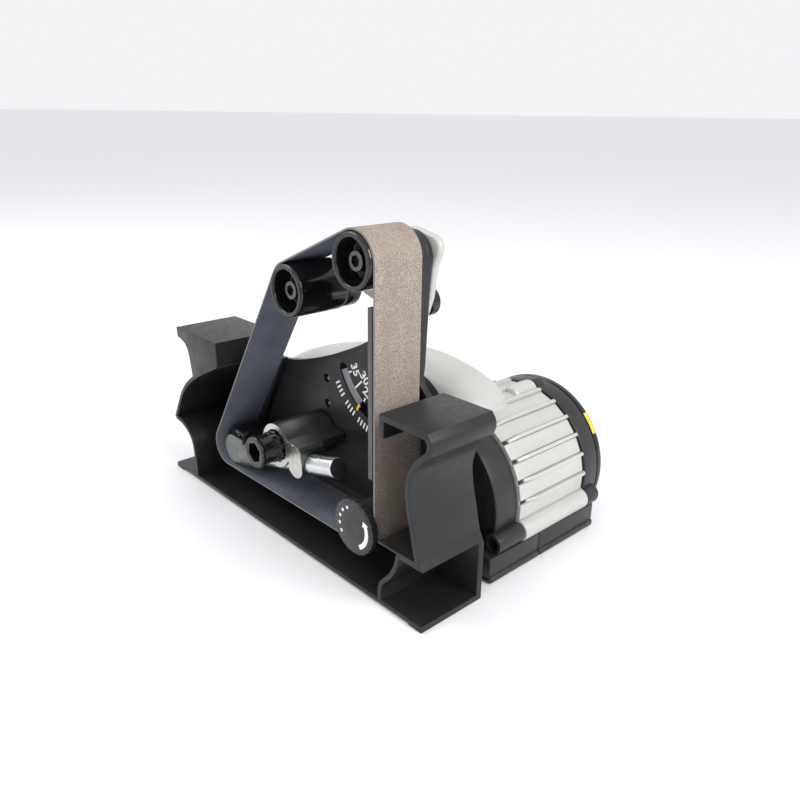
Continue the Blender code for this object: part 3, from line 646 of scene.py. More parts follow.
def smooth_line(points, count):
    """A Catmull-Rom curve through the points, with count steps between each two."""
    padded = [points[0]] + list(points) + [points[-1]]
    result = []
    for index in range(1, len(padded) - 2):
        a, b, c, d = (Vector(padded[index + k]) for k in (-1, 0, 1, 2))
        for step in range(count):
            result.append(tuple(between(a, b, c, d, step / count)))
    result.append(tuple(points[-1]))
    return result


def band(points, thickness):
    """The outline of a strip of sheet whose middle follows the points."""
    left, right = [], []
    for index, point in enumerate(points):
        here = Vector(point)
        before = (here - Vector(points[index - 1])).normalized() if index else None
        after = (Vector(points[index + 1]) - here).normalized() if index < len(points) - 1 else None
        along = ((before or after) + (after or before)).normalized()
        across = Vector((-along.y, along.x))
        straight = before or after
        reach = thickness / 2 / max(0.5, across.dot(Vector((-straight.y, straight.x))))
        left.append(tuple(here + across * reach))
        right.append(tuple(here - across * reach))
    middle = [Vector(point) for point in points]

    def from_middle(spot):
        """The distance from a spot to the nearest stretch of the middle line."""
        nearest = math.inf
        for start, end in zip(middle, middle[1:]):
            along = end - start
            share = (spot - start).dot(along) / along.length_squared
            nearest = min(nearest, (start + along * min(1.0, max(0.0, share)) - spot).length)
        return nearest

    # a tight bend folds some inner points back towards the middle; those are left out
    return [spot for spot in left + right[::-1]
            if from_middle(Vector(spot)) > 0.48 * thickness]


def fit(shape, body, slot, *nodes):
    """Rides a piece on its body and hides the CAD nodes it stands for; the slot is not used."""
    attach(shape, body)
    if nodes:
        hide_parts(*nodes)
    return shape


def fluted(radius, depth, count, steps=6):
    """A round outline about (0, 0) with scallops sunk into it."""
    points = []
    for index in range(count * steps):
        angle = math.tau * index / (count * steps)
        sink = max(0.0, math.cos(count * angle)) ** 2 * depth
        points.append(((radius - sink) * math.cos(angle), (radius - sink) * math.sin(angle)))
    return points


def moved(points, centre):
    return [(x + centre[0], z + centre[1]) for x, z in points]


def socket_screw(spot, front, head_back, head, stem_back, direction):
    """A cap screw along Y with a domed head and a six-sided socket."""
    s = direction
    profile = [(0, head_back), (head * 0.75, head_back), (head, head_back - s * 0.5),
               (head, front), (head * 0.42, front), (head * 0.42, stem_back), (0, stem_back)]
    screw = lathe("screw", profile, spot, "dark", 0.15, 40)
    return cut(screw, hex_socket(spot, head_back + s * 0.5, head_back - s * 1.0, head * 0.48))


# ------------------------------------------------------------------ the guide frame

DEPTH = 36.5
WALL = 33.2
SHEET = 2.7
REST = 88.7
RIGHT_PANEL = [(-0.4, 87.35), (1.35, 84.6), (0.7, 80.6), (-3.6, 76.2), (-7.9, 70.4), (-9.9, 62.0),
               (-8.9, 53.0), (-6.4, 43.0), (-4.3, 34.0), (-2.6, 30.1)]
COMPARTMENT = [(-14.6, 31.0), (-16.3, 23.8), (-19.9, 17.4), (-24.6, 12.2), (-26.1, 8.0),
               (-26.1, 1.5)]
GUARD = [(-152.4, 76.2), (-170.8, 67.3), (-183.2, 59.8), (-191.6, 52.2), (-198.0, 42.6),
         (-203.6, 33.0)]
SKIRT = [(-203.6, 33.0), (-196.0, 31.6), (-189.6, 28.2), (-185.4, 22.5), (-184.0, 12.0),
         (-183.8, 1.5)]
HOLLOW = [(-192.0, 83.6), (-184.6, 81.2), (-180.9, 75.5), (-178.9, 64.0)]
REAR_WALL = [(-184.2, 1.0), (-184.2, 20.0), (-190.0, 28.0), (-203.0, 33.0), (-197.4, 43.0),
             (-190.6, 53.0), (-178.0, 63.5), (-152.4, 76.6), (-140.6, 76.6), (-164.7, 34.0),
             (-167.0, 24.0), (-163.0, 9.0), (-38.0, 9.0), (-36.0, 83.0), (-26.0, 87.0),
             (-1.0, 87.0), (1.0, 83.0), (-8.6, 70.0), (-9.6, 58.0), (-5.0, 38.0), (0.0, 28.0),
             (0.0, 1.0)]


def make_frame():
    """The one-piece guide: base tray, rear wall with its window, and the two tool rests."""
    right_line = [(-25.2, 78.9), (-25.2, 87.35)] + smooth_line(RIGHT_PANEL, 6) + [(-13.8, 30.1)]
    rest_outline = [(-192.3, REST), (-151.2, REST), (-151.2, 76.9), (-170.9, 67.3)]
    rest = prism("left_rest", [rest_outline + smooth_line(HOLLOW, 5)[::-1]], 0, DEPTH, "frame",
                 0.35)
    cut(rest, box("pocket_a", (-164.0, 2.4, 74.6), (-153.8, 40, 86.2), None, 0.6),
        box("pocket_b", (-178.0, 2.4, 71.0), (-166.4, 40, 86.2), None, 0.6))
    shapes = [
        box("tray", (-BASE_LENGTH, 0, 0.9), (0, DEPTH, 2.8), "frame", 0.35),
        box("foot_left", (-BASE_LENGTH, 0, 0), (8 - BASE_LENGTH, DEPTH, 1.6), "frame", 0.3),
        box("foot_right", (-8, 0, 0), (0, DEPTH, 1.6), "frame", 0.3),
        prism("right_rest", [band(right_line, SHEET)], 0, DEPTH, "frame", 0.35),
        box("ledge", (-27.0, 0.05, 30.4), (-12.0, 35.0, 31.4), "frame", 0.15),
        prism("compartment", [band(smooth_line(COMPARTMENT, 4), 2.2)], 0.02, 35.2, "frame", 0.3),
        prism("guard", [band(smooth_line(GUARD, 5), 2.2)], 0.02, DEPTH - 0.02, "frame", 0.3),
        prism("skirt", [band(smooth_line(SKIRT, 5), 2.2)], 0.03, DEPTH - 0.03, "frame", 0.3),
        rest,
        prism("rear_wall", [REAR_WALL], WALL, DEPTH - 0.04, "frame", 0.2),
    ]
    fixed("guide_moulding", shapes, "black_plastic", "guide_frame")


# ------------------------------------------------------------------ plate, dial and platen

PLATE_FRONT = 36.8
PLATE_BACK = 40.3
SLOT_RADIUS = 34.5
SLOT_HALF = 2.9
SLOT_ANGLES = (203.8, 280.2)
POINTER_ANGLE = 237.0
FIVE_DEGREES = 15.0
FIRST_MAJOR = 208.5
INK = 0.06
DIMPLES = ((-108.0, 73.5), (-107.7, 60.1))
ARM_END = (TOP[0], 142.5)
ARM_FRONT = 40.9
ARM_BACK = 44.9
LIP_FRONT = 33.6
GROOVE_FRONT = 37.4
SHUTTER_DEPTHS = (37.7, 38.3)
SPOKE_DEPTHS = (40.6, 42.0)
TAB_DEPTHS = (36.2, 41.2)
TIP_DEPTHS = (35.9, 36.5)
BACKING_DEPTHS = (42.3, 43.6)
POINTER_HALF = 1.9
FIGURE_SIZE = 6.6
TOP_EDGE = [(-149.1, 73.9), (-130.6, 77.6), (-113.2, 83.2), (-97.0, 89.7), (-76.8, 99.6),
            (-65.0, 110.0), (-61.6, 122.0), (-61.4, 142.0)]
SCREW_DEPTHS = (40.7, 42.6, 2.6, 35.2, 1)
PLATE_SCREWS = [(-174.0, 44.0), (-153.5, 67.5), (-29.5, 70.0), (-29.5, 16.0)]


def slot_outline():
    start, end = SLOT_ANGLES
    ends = [polar(DIAL, SLOT_RADIUS, angle) for angle in SLOT_ANGLES]
    outline = arc(DIAL, SLOT_RADIUS + SLOT_HALF, start, end, 40)
    outline += arc(ends[1], SLOT_HALF, end, end + 180, 8)[1:-1]
    outline += arc(DIAL, SLOT_RADIUS - SLOT_HALF, end, start, 40)
    outline += arc(ends[0], SLOT_HALF, start + 180, start + 360, 8)[1:-1]
    return outline


def stroke(name, angle, inner, outer, width):
    """A printed line on the plate, along a radius of the dial."""
    ray = Vector((math.cos(math.radians(angle)), math.sin(math.radians(angle))))
    side = Vector((-ray.y, ray.x)) * width / 2
    middle = Vector(DIAL)
    corners = [middle + ray * inner - side, middle + ray * outer - side,
               middle + ray * outer + side, middle + ray * inner + side]
    return prism(name, [[tuple(corner) for corner in corners]], PLATE_FRONT - INK,
                 PLATE_FRONT + 0.3, "white", 0.02, 0)


def numeral(value, angle, radius):
    """A figure of the scale, its top towards the middle of the dial."""
    curve = bpy.data.curves.new("figure", "FONT")
    curve.body = str(value)
    curve.size = FIGURE_SIZE * MM
    curve.extrude = 0.16 * MM
    curve.offset = 0.09 * MM
    curve.bevel_depth = 0.03 * MM
    curve.align_x = "CENTER"
    curve.align_y = "CENTER"
    mesh = mesh_of("figure", curve)
    clean(mesh)
    mesh.transform(Matrix.Rotation(math.radians(angle + 90), 4, "Z"))
    mesh.transform(Matrix.Rotation(math.radians(90), 4, "X"))
    spot = polar(DIAL, radius, angle)
    mesh.transform(Matrix.Translation(at(spot[0], PLATE_FRONT - 0.1, spot[1])))
    return add("figure", mesh, "white")


def make_plate():
    """The plate with its arm, arc slot, drive opening and blind screw holes."""
    outline = [(-180.0, 14.0), (-184.0, 30.0), (-186.0, 44.0), (-178.0, 58.0), (-160.0, 69.6)]
    outline += smooth_line(TOP_EDGE, 6) + arc(ARM_END, 11.2, 176, 4, 24)
    outline += smooth_line([(-40.0, 130.8), (-41.6, 98.2), (-42.0, 90.0), (-38.0, 84.2),
                            (-25.0, 74.0)], 6)
    outline += [(-25.0, 8.0), (-170.0, 8.0)]
    holes = [slot_outline(), arc(DRIVE, 13.0, 0, 355, 71), arc(TOP, 4.2, 0, 352.5, 47)]
    holes += [arc(spot, 1.35, 0, 345, 23) for spot in PLATE_SCREWS]
    plate = prism("slotted_plate", [outline] + holes, PLATE_FRONT, PLATE_BACK, "plate", 0.35)
    dimples = [plug("dimple", 2.3, 34.0, 39.2, spot, None, 0.0, 32) for spot in DIMPLES]
    groove = sector(DIAL, 38.1, 30.9, 160, 290, 60)
    cut(plate, prism("groove", [groove], GROOVE_FRONT, PLATE_BACK + 1, None, 0.001, 0), *dimples)
    lip = arc(ARM_END, 10.6, 80, 4, 16) + [(-40.6, 130.8), (-42.2, 98.2), (-42.6, 90.0)]
    lip = prism("lip", [band(lip, 1.2)], LIP_FRONT, PLATE_FRONT + 0.4, "plate", 0.25)
    screws = [lathe("dimple_screw", [(0, 37.7), (1.0, 37.7), (1.6, 38.2), (1.6, 39.4), (0, 39.4)],
                    (spot[0] + 0.3, spot[1] - 0.3), "zinc", 0.1, 24)
              for spot in DIMPLES]
    ridge = prism("ridge", [band(arc((-112.6, 77.6), 7.6, 180, 240, 10), 0.35)], 36.7,
                  PLATE_FRONT + 0.4, "plate", 0.1)
    fixed("slotted_plate_face", [plate, lip, ridge] + screws, "black_plastic", "cassette_plate")
    backing = prism("backing", [arc(DIAL, SLOT_RADIUS + 7, 195, 290, 40)
                                + arc(DIAL, 5.0, 290, 195, 20)], *BACKING_DEPTHS, "plate", 0.15)
    fixed("scale_backing", [backing], "black_plastic", "dial_backing")


def make_scale():
    """The printed scale: minor lines outside the slot, figures and major lines inside it."""
    marks = []
    for five in range(3):
        for minor in range(1, 5):
            angle = FIRST_MAJOR + FIVE_DEGREES * (five + minor / 5)
            marks.append(stroke("minor_line", angle, 40.7, 44.2, 0.95))
    for value, inner, radius in ((35, 28.8, 25.6), (30, 24.4, 21.4), (25, 28.8, 25.6),
                                 (20, 28.8, 25.6), (15, 28.8, 25.6)):
        angle = FIRST_MAJOR + FIVE_DEGREES * (35 - value) / 5
        marks.append(stroke("major_line", angle, inner, 31.3, 0.9))
        marks.append(numeral(value, angle, radius))
    fixed("angle_scale", marks, "silver_plastic")


def make_pointer():
    """The yellow tip in the slot, on its spoke behind the plate."""
    low, high = POINTER_ANGLE - POINTER_HALF, POINTER_ANGLE + POINTER_HALF
    spoke = arc(DIAL, 36.0, low, high, 4)
    spoke += arc(DIAL, 5.0, POINTER_ANGLE + 40, POINTER_ANGLE + 320, 32)
    tab = sector(DIAL, 35.9, 34.4, low + 1.0, high - 1.0, 4)
    shutter = sector(DIAL, 37.7, 31.3, low - 31, low + 0.6, 24)
    tip = arc(DIAL, 38.5, low + 1.0, high - 1.0, 4) + arc(DIAL, 34.4, high - 0.7, low + 0.7, 4)
    shapes = [prism("spoke", [spoke], *SPOKE_DEPTHS, "plate", 0.25),
              prism("shutter", [shutter], *SHUTTER_DEPTHS, "shutter", 0.1),
              prism("tab", [tab], *TAB_DEPTHS, "plate", 0.15),
              prism("tip", [tip], *TIP_DEPTHS, "yellow", 0.15),
              plug("pivot", 2.5, 41.0, 38.4, DIAL, "yellow")]
    gather("scale_pointer", shapes, "pointer", "yellow", "angle_pointer")


def make_platen():
    """The steel bar behind the straight run of the belt, its foot, and its sliding pad."""
    bar_shape = [box("strip", (-42.2, 7.6, 52.0), (-39.5, 34.0, 127.0), "dark", 0.35),
                 box("foot", (-57.0, 33.0, 66.0), (-41.2, 36.5, 112.0), "dark", 0.4)]
    fixed("platen_bar", bar_shape, "dark_metal", "platen")
    pad = box("pad", (-39.2, 7.6, 52.0), (-38.2, 32.2, 127.0), "graphite", 0.2)
    fixed("platen_pad", [pad], "graphite", "platen_face")


# ------------------------------------------------------------------ rollers and arm

IDLER_RADIUS = 12.0
SMALL_RADIUS = 9.4
IDLER_FRONT = 5.6


def make_idlers():
    front = IDLER_FRONT
    for side, axis, body in (("top", TOP, "top_roller"), ("left", LEFT, "left_roller")):
        shell = lathe("shell", [(11.1, 33.0), (IDLER_RADIUS, 31.6), (IDLER_RADIUS, front + 1.3),
                                (11.4, front), (9.7, front), (9.3, front + 1.0),
                                (9.2, front + 9.5), (5.6, front + 9.5), (5.6, 33.0)],
                      axis, "gloss", 0.55, 96)
        rim = pipe("rim", 11.3, 9.85, front + 0.3, front - 0.12, axis, "rim", 0.08, 96)
        gather(side + "_idler_shell", [shell, rim], body, "gloss_black", side + "_idler")
        race = lathe("race", [(5.5, front + 10.0), (5.0, front + 9.2), (3.3, front + 9.2),
                              (2.9, front + 10), (2.9, front + 15), (5.5, front + 15)], axis,
                     "steel", 0.2, 64)
        shield = pipe("shield", 4.9, 3.6, front + 9.3, front + 9.05, axis, "gloss", 0.05, 64)
        gather(side + "_race", [race, shield], body, "steel", side + "_idler_bearing")
        axle = lathe("axle", [(0, 44.6), (2.8, 44.6), (2.8, 14.2), (4.2, 14.2), (4.2, 8.3),
                              (0, 8.3)], axis, "dark", 0.5, 64)
        cut(axle, hex_socket(axis, 7.0, 11.2, 2.6, 12))
        fixed(side + "_axle_screw", [axle], "dark_metal", side + "_axle")
    spacer = pipe("spacer", 11.4, 3.0, 40.6, 33.4, LEFT, "gloss", 0.5, 96)
    fixed("left_spacer", [spacer], "gloss_black", "left_idler_spacer")


def make_arm():
    """The silver arm behind the plate, and the black knob that tilts it to track the belt."""
    outline = arc(LEFT, 11.0, 110, 236, 24) + smooth_line(
        [(-88.4, 121.5), (-77.8, 118.1), (-54.0, 110.4)], 5)
    outline += arc((-49.0, 114.0), 4.0, 250, 372, 12)
    outline += [(-41.2, 125.1), (-39.2, 138.4)] + arc((-41.8, 146.6), 5.7, -28, 75, 12)
    outline += arc((-52.0, 144.2), 10.0, 80, 118, 8)
    arm = prism("arm", [outline], ARM_FRONT, ARM_BACK, "silver", 1.5, 5)
    fixed("idler_bracket", [arm], "silver_plastic", "idler_arm")
    cap = lathe("cap", [(0, 50.4), (5.8, 50.4), (6.4, 49.8), (6.4, 46.0), (5.8, 45.3),
                        (2.15, 45.3), (2.15, 41.2), (0, 41.2)], TRACKING, "gloss", 0.3, 96)
    gather("tracking_grip", [cap], "tracking", "black_plastic", "tracking_knob")


# ------------------------------------------------------------------ belt

BELT_FRONT = 7.0
BELT_BACK = 32.4
BELT_CLEARANCE = 0.3
BELT_THICKNESS = 0.8


def belt_line(extra, count):
    """Points round the four rollers at a given distance outside them."""
    wheels = [(TOP, IDLER_RADIUS), (LEFT, IDLER_RADIUS), (CORNER, SMALL_RADIUS),
              (DRIVE, SMALL_RADIUS)]
    leaving = []
    for index, (axis, radius) in enumerate(wheels):
        following, next_radius = wheels[(index + 1) % len(wheels)]
        span = Vector(following) - Vector(axis)
        lean = math.degrees(math.asin((radius - next_radius) / span.length))
        leaving.append(math.degrees(math.atan2(span.y, span.x)) - 90 + lean)
    points = []
    for index, (axis, radius) in enumerate(wheels):
        start, end = leaving[index - 1], leaving[index]
        while end < start:
            end += 360
        points += arc(axis, radius + extra, start, end, count)
    return points


def make_belt():
    """The loop: abrasive outside, cloth inside, with frayed light edges."""
    outer = belt_line(BELT_CLEARANCE + BELT_THICKNESS, 28)
    inner = belt_line(BELT_CLEARANCE, 28)
    build = bmesh.new()
    layer = build.loops.layers.uv.new("UVMap")
    rows = []
    length = 0.0
    for index, (out, into) in enumerate(zip(outer, inner)):
        if index:
            length += (Vector(out) - Vector(outer[index - 1])).length
        rows.append((length * MM, [build.verts.new(at(x, depth, z)) for (x, z), depth in
                                   ((out, BELT_FRONT + 0.12), (out, BELT_BACK - 0.12),
                                    (into, BELT_BACK), (into, BELT_FRONT))]))
    total = (length + (Vector(outer[0]) - Vector(outer[-1])).length) * MM
    across = (0.0, (BELT_BACK - BELT_FRONT) * MM, (BELT_BACK - BELT_FRONT) * MM, 0.0)
    for index, (along, row) in enumerate(rows):
        next_along, next_row = rows[(index + 1) % len(rows)]
        if index == len(rows) - 1:
            next_along = total
        for side in range(4):
            other = (side + 1) % 4
            face = build.faces.new((row[side], row[other], next_row[other], next_row[side]))
            face.material_index = (0, 2, 1, 2)[side]
            for loop, uv in zip(face.loops, ((along, across[side]), (along, across[other]),
                                             (next_along, across[other]),
                                             (next_along, across[side]))):
                loop[layer].uv = uv
    bmesh.ops.recalc_face_normals(build, faces=build.faces)
    mesh = mesh_from("belt_loop", build)
    for finish in ("abrasive", "belt_back", "belt_edge"):
        mesh.materials.append(FINISH[finish])
    shade(mesh, 40)
    belt = bpy.data.objects.new("belt_loop", mesh)
    PARTS.objects.link(belt)
    fit(belt, "grinder_body", "abrasive", "abrasive_belt")


# ------------------------------------------------------------------ belt tensioner

HUB_RADIUS = 11.3
HUB_BORE = 8.3
ROD_POINT = (-91.3, 14.0, 39.3)
ROD_RADIUS = 5.0


def rod_point(x):
    """The point of the tension rod's axis at a given x."""
    rise = (x - ROD_POINT[0]) * ROD_DIRECTION.z / ROD_DIRECTION.x
    return (x, ROD_POINT[1], ROD_POINT[2] + rise)


def make_tensioner():
    """The casting and its hex adjuster, and the rod with its yoke and corner roller."""
    hub = pipe("hub", HUB_RADIUS, HUB_BORE - 1.5, 36.4, 7.2, HUB, None, 0.2, 96)
    lobe_line = [(-103.6, 49.0), (-101.6, 46.0), (-101.6, 40.0)] + arc((-96.3, 38.0), 6.2, 205, 335,
                                                                      16)
    lobe_line += [(-90.6, 40.0), (-91.8, 46.6), (-93.6, 48.4)]
    lobe = prism("lobe", [lobe_line], 7.25, 22.4, None, 0.6)
    web = prism("web", [[(-108.0, 44.0), (-93.6, 44.0), (-93.6, 48.4), (-106.0, 49.4)]], 7.3, 36.4,
                None, 0.5)
    casting = join(hub, lobe, web)
    soften(casting, 0.42, 5)
    cut(casting,
        lathe("bore", [(0, 6.0), (HUB_BORE + 0.9, 6.0), (HUB_BORE, 7.9), (HUB_BORE, 33.0),
                       (0, 33.0)], HUB, None, 0.0, 96),
        box("milled_face", (-130, 0, 20), (-80, 7.55, 60), None, 0.0),
        bar("rod_bore", rod_point(-140), rod_point(-80), ROD_RADIUS + 0.25, None, 64, 0.0))
    finish_all(casting.data, "zinc")
    repaint(casting, "milled", lambda spot, normal: normal.y < -0.6 and spot.y < 8.2)
    fixed("tension_housing", [casting], "zinc", "tension_casting")

    sleeve = lathe("sleeve", [(0, 8.4), (7.3, 8.4), (7.3, -2.2), (7.9, -2.6), (7.9, -4.3),
                              (7.4, -4.9), (0, -4.9)], HUB, "gloss", 0.3, 96)
    cut(sleeve, hex_socket(HUB, -8, 4, 5.4, 10))
    lip = pipe("lip", 7.5, 5.9, -4.6, -5.0, HUB, "rim", 0.1, 96)
    splines = prism("splines", [moved(fluted(7.85, 1.3, 10, 8), HUB)], 3.6, 8.3, "gloss", 0.25)
    stem = plug("stem", 4.1, 32.6, 8.0, HUB, "dark")
    gather("hex_key_sleeve", [sleeve, lip, splines, stem], "tension_key", "gloss_black",
           "hex_adjuster")

    rod = bar("rod", rod_point(-147.0), rod_point(-70.6), ROD_RADIUS, "ground", 96, 0.5)
    repaint(rod, "rim", lambda spot, normal: spot.x > -71.4 and normal.x > 0.9)
    gather("ground_rod", [rod], "tension_slider", "steel", "tension_rod")

    yoke = prism("yoke", [arc((-155.3, 26.8), 8.2, 100, 262, 30) + [(-146.0, 20.6),
                                                                  (-146.0, 35.0)]],
                 8.0, 11.0, None, 0.6)
    socket = bar("socket", rod_point(-149.6), rod_point(-133.0), 7.2, None, 64, 0.7)
    join(yoke, socket)
    soften(yoke, 0.4, 4)
    cut(yoke, bar("socket_bore", rod_point(-147.3), rod_point(-120.0), ROD_RADIUS + 0.2, None, 64,
                  0.0))
    finish_all(yoke.data, "zinc")
    gather("rod_yoke", [yoke], "tension_slider", "zinc", "tension_yoke")

    axle = plug("axle", 2.2, 32.0, 8.4, CORNER, "bright", 0.4)
    gather("small_axle", [axle], "tension_slider", "steel", "corner_axle")
    bushing = pipe("bushing", 5.4, 2.35, 13.2, 11.3, CORNER, "bright")
    gather("small_bushing", [bushing], "tension_slider", "steel", "corner_bushing")
    roller = lathe("roller", [(8.8, 32.2), (SMALL_RADIUS, 31.4), (SMALL_RADIUS, 14.4),
                              (8.6, 13.5), (2.3, 13.5), (2.3, 32.2)], CORNER, "gloss", 0.4, 96)
    gather("small_idler_shell", [roller], "small_roller", "gloss_black", "corner_roller")


# ------------------------------------------------------------------ drive end

KNOB_RADIUS = 13.25


def make_knob():
    """The fluted clamp knob, with a curved arrow and dashes printed on its black ring."""
    rim = prism("rim", [moved(fluted(KNOB_RADIUS, 0.55, 22), DRIVE)], 3.6, 6.9, "rim", 0.35)
    disc = plug("disc", 11.9, 4.0, 3.44, DRIVE, "gloss", 0.1, 96)
    centre = lathe("centre", [(0.9, 4.0), (6.6, 4.0), (6.6, 3.38), (0.9, 3.38)], DRIVE, "rim",
                   0.08, 64)
    stem = lathe("stem", [(0, 20.0), (2.5, 20.0), (2.5, 6.5), (12.4, 6.5), (12.4, 4.2), (0, 4.2)],
                 DRIVE, "housing", 0.3)
    arrow_line = sector(DRIVE, 10.3, 8.1, -62, 26, 24)
    head = [polar(DRIVE, 11.4, 24), polar(DRIVE, 9.1, 40), polar(DRIVE, 7.0, 24)]
    prints = [prism("arrow", [arrow_line], 3.38, 3.6, "white", 0.03, 0),
              prism("arrow_head", [head], 3.37, 3.6, "white", 0.03, 0)]
    for index in range(5):
        angle = 110 + 24 * index
        dash = sector(DRIVE, 9.9, 8.6, angle, angle + 9, 4)
        prints.append(prism("dash", [dash], 3.38, 3.6, "white", 0.03, 0))
    gather("clamp_dial", [rim, disc, centre, stem] + prints, "clamp_knob", "black_plastic",
           "hand_knob")
    roller = pipe("roller", SMALL_RADIUS, 4.05, 32.6, 7.3, DRIVE, "rubber", 0.5, 96)
    gather("drive_tyre", [roller], "drive", "rubber", "drive_roller")


# ------------------------------------------------------------------ the power unit

BARREL = DRIVE
COLLAR_FRONT = 55.0
RIB_FRONT = 70.3
RIB_BACK = 119.7
CAP_BACK = 131.0
BEZEL_BACK = 136.4
DIAL_BACK = 138.4
COLLAR_RADIUS = 38.6
PANEL_RADIUS = 40.2
RIB_RADIUS = 42.0
CAP_RADIUS = 40.9
BEZEL_RADIUS = 41.0
DIAL_RADIUS = 24.0
SPLIT = 12.8
FINS = 15
FIN_PITCH = 14.1
LOWER_BOSS = (-8.2, 16.8)
UPPER_BOSS = (-44.5, 65.2)
BOSS_RADIUS = 5.3
INNER = 35.8


def drop_angle(radius):
    return math.degrees(math.asin((SPLIT - BARREL[1]) / radius))


def dome(radius, count):
    drop = drop_angle(radius)
    return arc(BARREL, radius, drop, 180 - drop, count)


def shell_section(name, outline, front, back, finish, bevel):
    return prism(name, [outline + dome(INNER, 60)[::-1]], front, back, finish, bevel, 3)


def make_fin(angle, front, back):
    """A cooling fin: a long low ridge that starts with a ramp and ends in a soft corner."""
    half = 0.85
    build = bmesh.new()
    side = [(PANEL_RADIUS - 1.6, front + 0.6), (PANEL_RADIUS - 0.1, front + 0.6),
            (RIB_RADIUS - 0.25, front + 6.0), (RIB_RADIUS, front + 8.5), (RIB_RADIUS, back - 1.4),
            (RIB_RADIUS - 0.4, back - 0.4), (RIB_RADIUS - 1.2, back), (PANEL_RADIUS - 1.6, back)]
    rings = [[build.verts.new((radius * MM, depth * MM, offset * MM)) for radius, depth in side]
             for offset in (-half, half)]
    build.faces.new(rings[0])
    build.faces.new(rings[1][::-1])
    for index in range(len(side)):
        after = (index + 1) % len(side)
        build.faces.new((rings[0][index], rings[0][after], rings[1][after], rings[1][index]))
    bmesh.ops.recalc_face_normals(build, faces=build.faces)
    long_edges = [edge for edge in build.edges
                  if abs(edge.verts[0].co.z - edge.verts[1].co.z) < 1e-9
                  and min(v.co.x for v in edge.verts) > (PANEL_RADIUS - 1.0) * MM]
    bmesh.ops.bevel(build, geom=long_edges, offset=0.4 * MM, segments=3, affect="EDGES",
                    profile=0.5)
    mesh = mesh_from("fin", build)
    mesh.transform(Matrix.Rotation(-math.radians(angle), 4, "Y"))
    mesh.transform(Matrix.Translation(at(BARREL[0], 0, BARREL[1])))
    clean(mesh)
    return add("fin", mesh, "silver")


def make_barrel():
    """The silver housing: flat panels between fins, each fin behind a small notch whose shade is
    painted as a dark patch.
    """
    drop = drop_angle(PANEL_RADIUS)
    fins = [90 + FIN_PITCH * (index - (FINS - 1) / 2) for index in range(FINS)]
    gap = 1.9
    outline = [polar(BARREL, PANEL_RADIUS, drop)]
    for angle in fins:
        outline.append(polar(BARREL, PANEL_RADIUS, angle - gap))
        outline += arc(BARREL, PANEL_RADIUS - 0.75, angle - gap + 0.5, angle + gap - 0.5, 2)
        outline.append(polar(BARREL, PANEL_RADIUS, angle + gap))
    outline.append(polar(BARREL, PANEL_RADIUS, 180 - drop))
    barrel = shell_section("barrel", outline, RIB_FRONT, RIB_BACK - 0.6, "silver", 0.3)
    shapes = [barrel]
    for angle in fins:
        shapes.append(make_fin(angle, RIB_FRONT + 3.6, RIB_BACK))
        # painted shade: a dark patch on the groove floor ahead of each fin stands in for the shadow
        # inside a notch
        painted_notch_shade = sector(BARREL, PANEL_RADIUS - 0.6, PANEL_RADIUS - 1.6, angle - 1.3, angle + 1.3, 2)
        shapes.append(prism("painted_notch_shade", [painted_notch_shade], RIB_FRONT + 0.2, RIB_FRONT + 3.8, "plate", 0.1))
    side = plug("side_boss", BOSS_RADIUS, RIB_BACK - 0.1, RIB_FRONT + 0.1, LOWER_BOSS, "silver",
                0.5, 64)
    top = lathe("top_boss", [(0, RIB_BACK - 0.1), (BOSS_RADIUS, RIB_BACK - 0.1),
                             (BOSS_RADIUS, 104.4), (4.4, 103.0), (0, 103.0)], UPPER_BOSS, "silver",
                0.9, 64)
    fixed("finned_barrel", shapes + [side, top], "silver_plastic", "motor_housing")


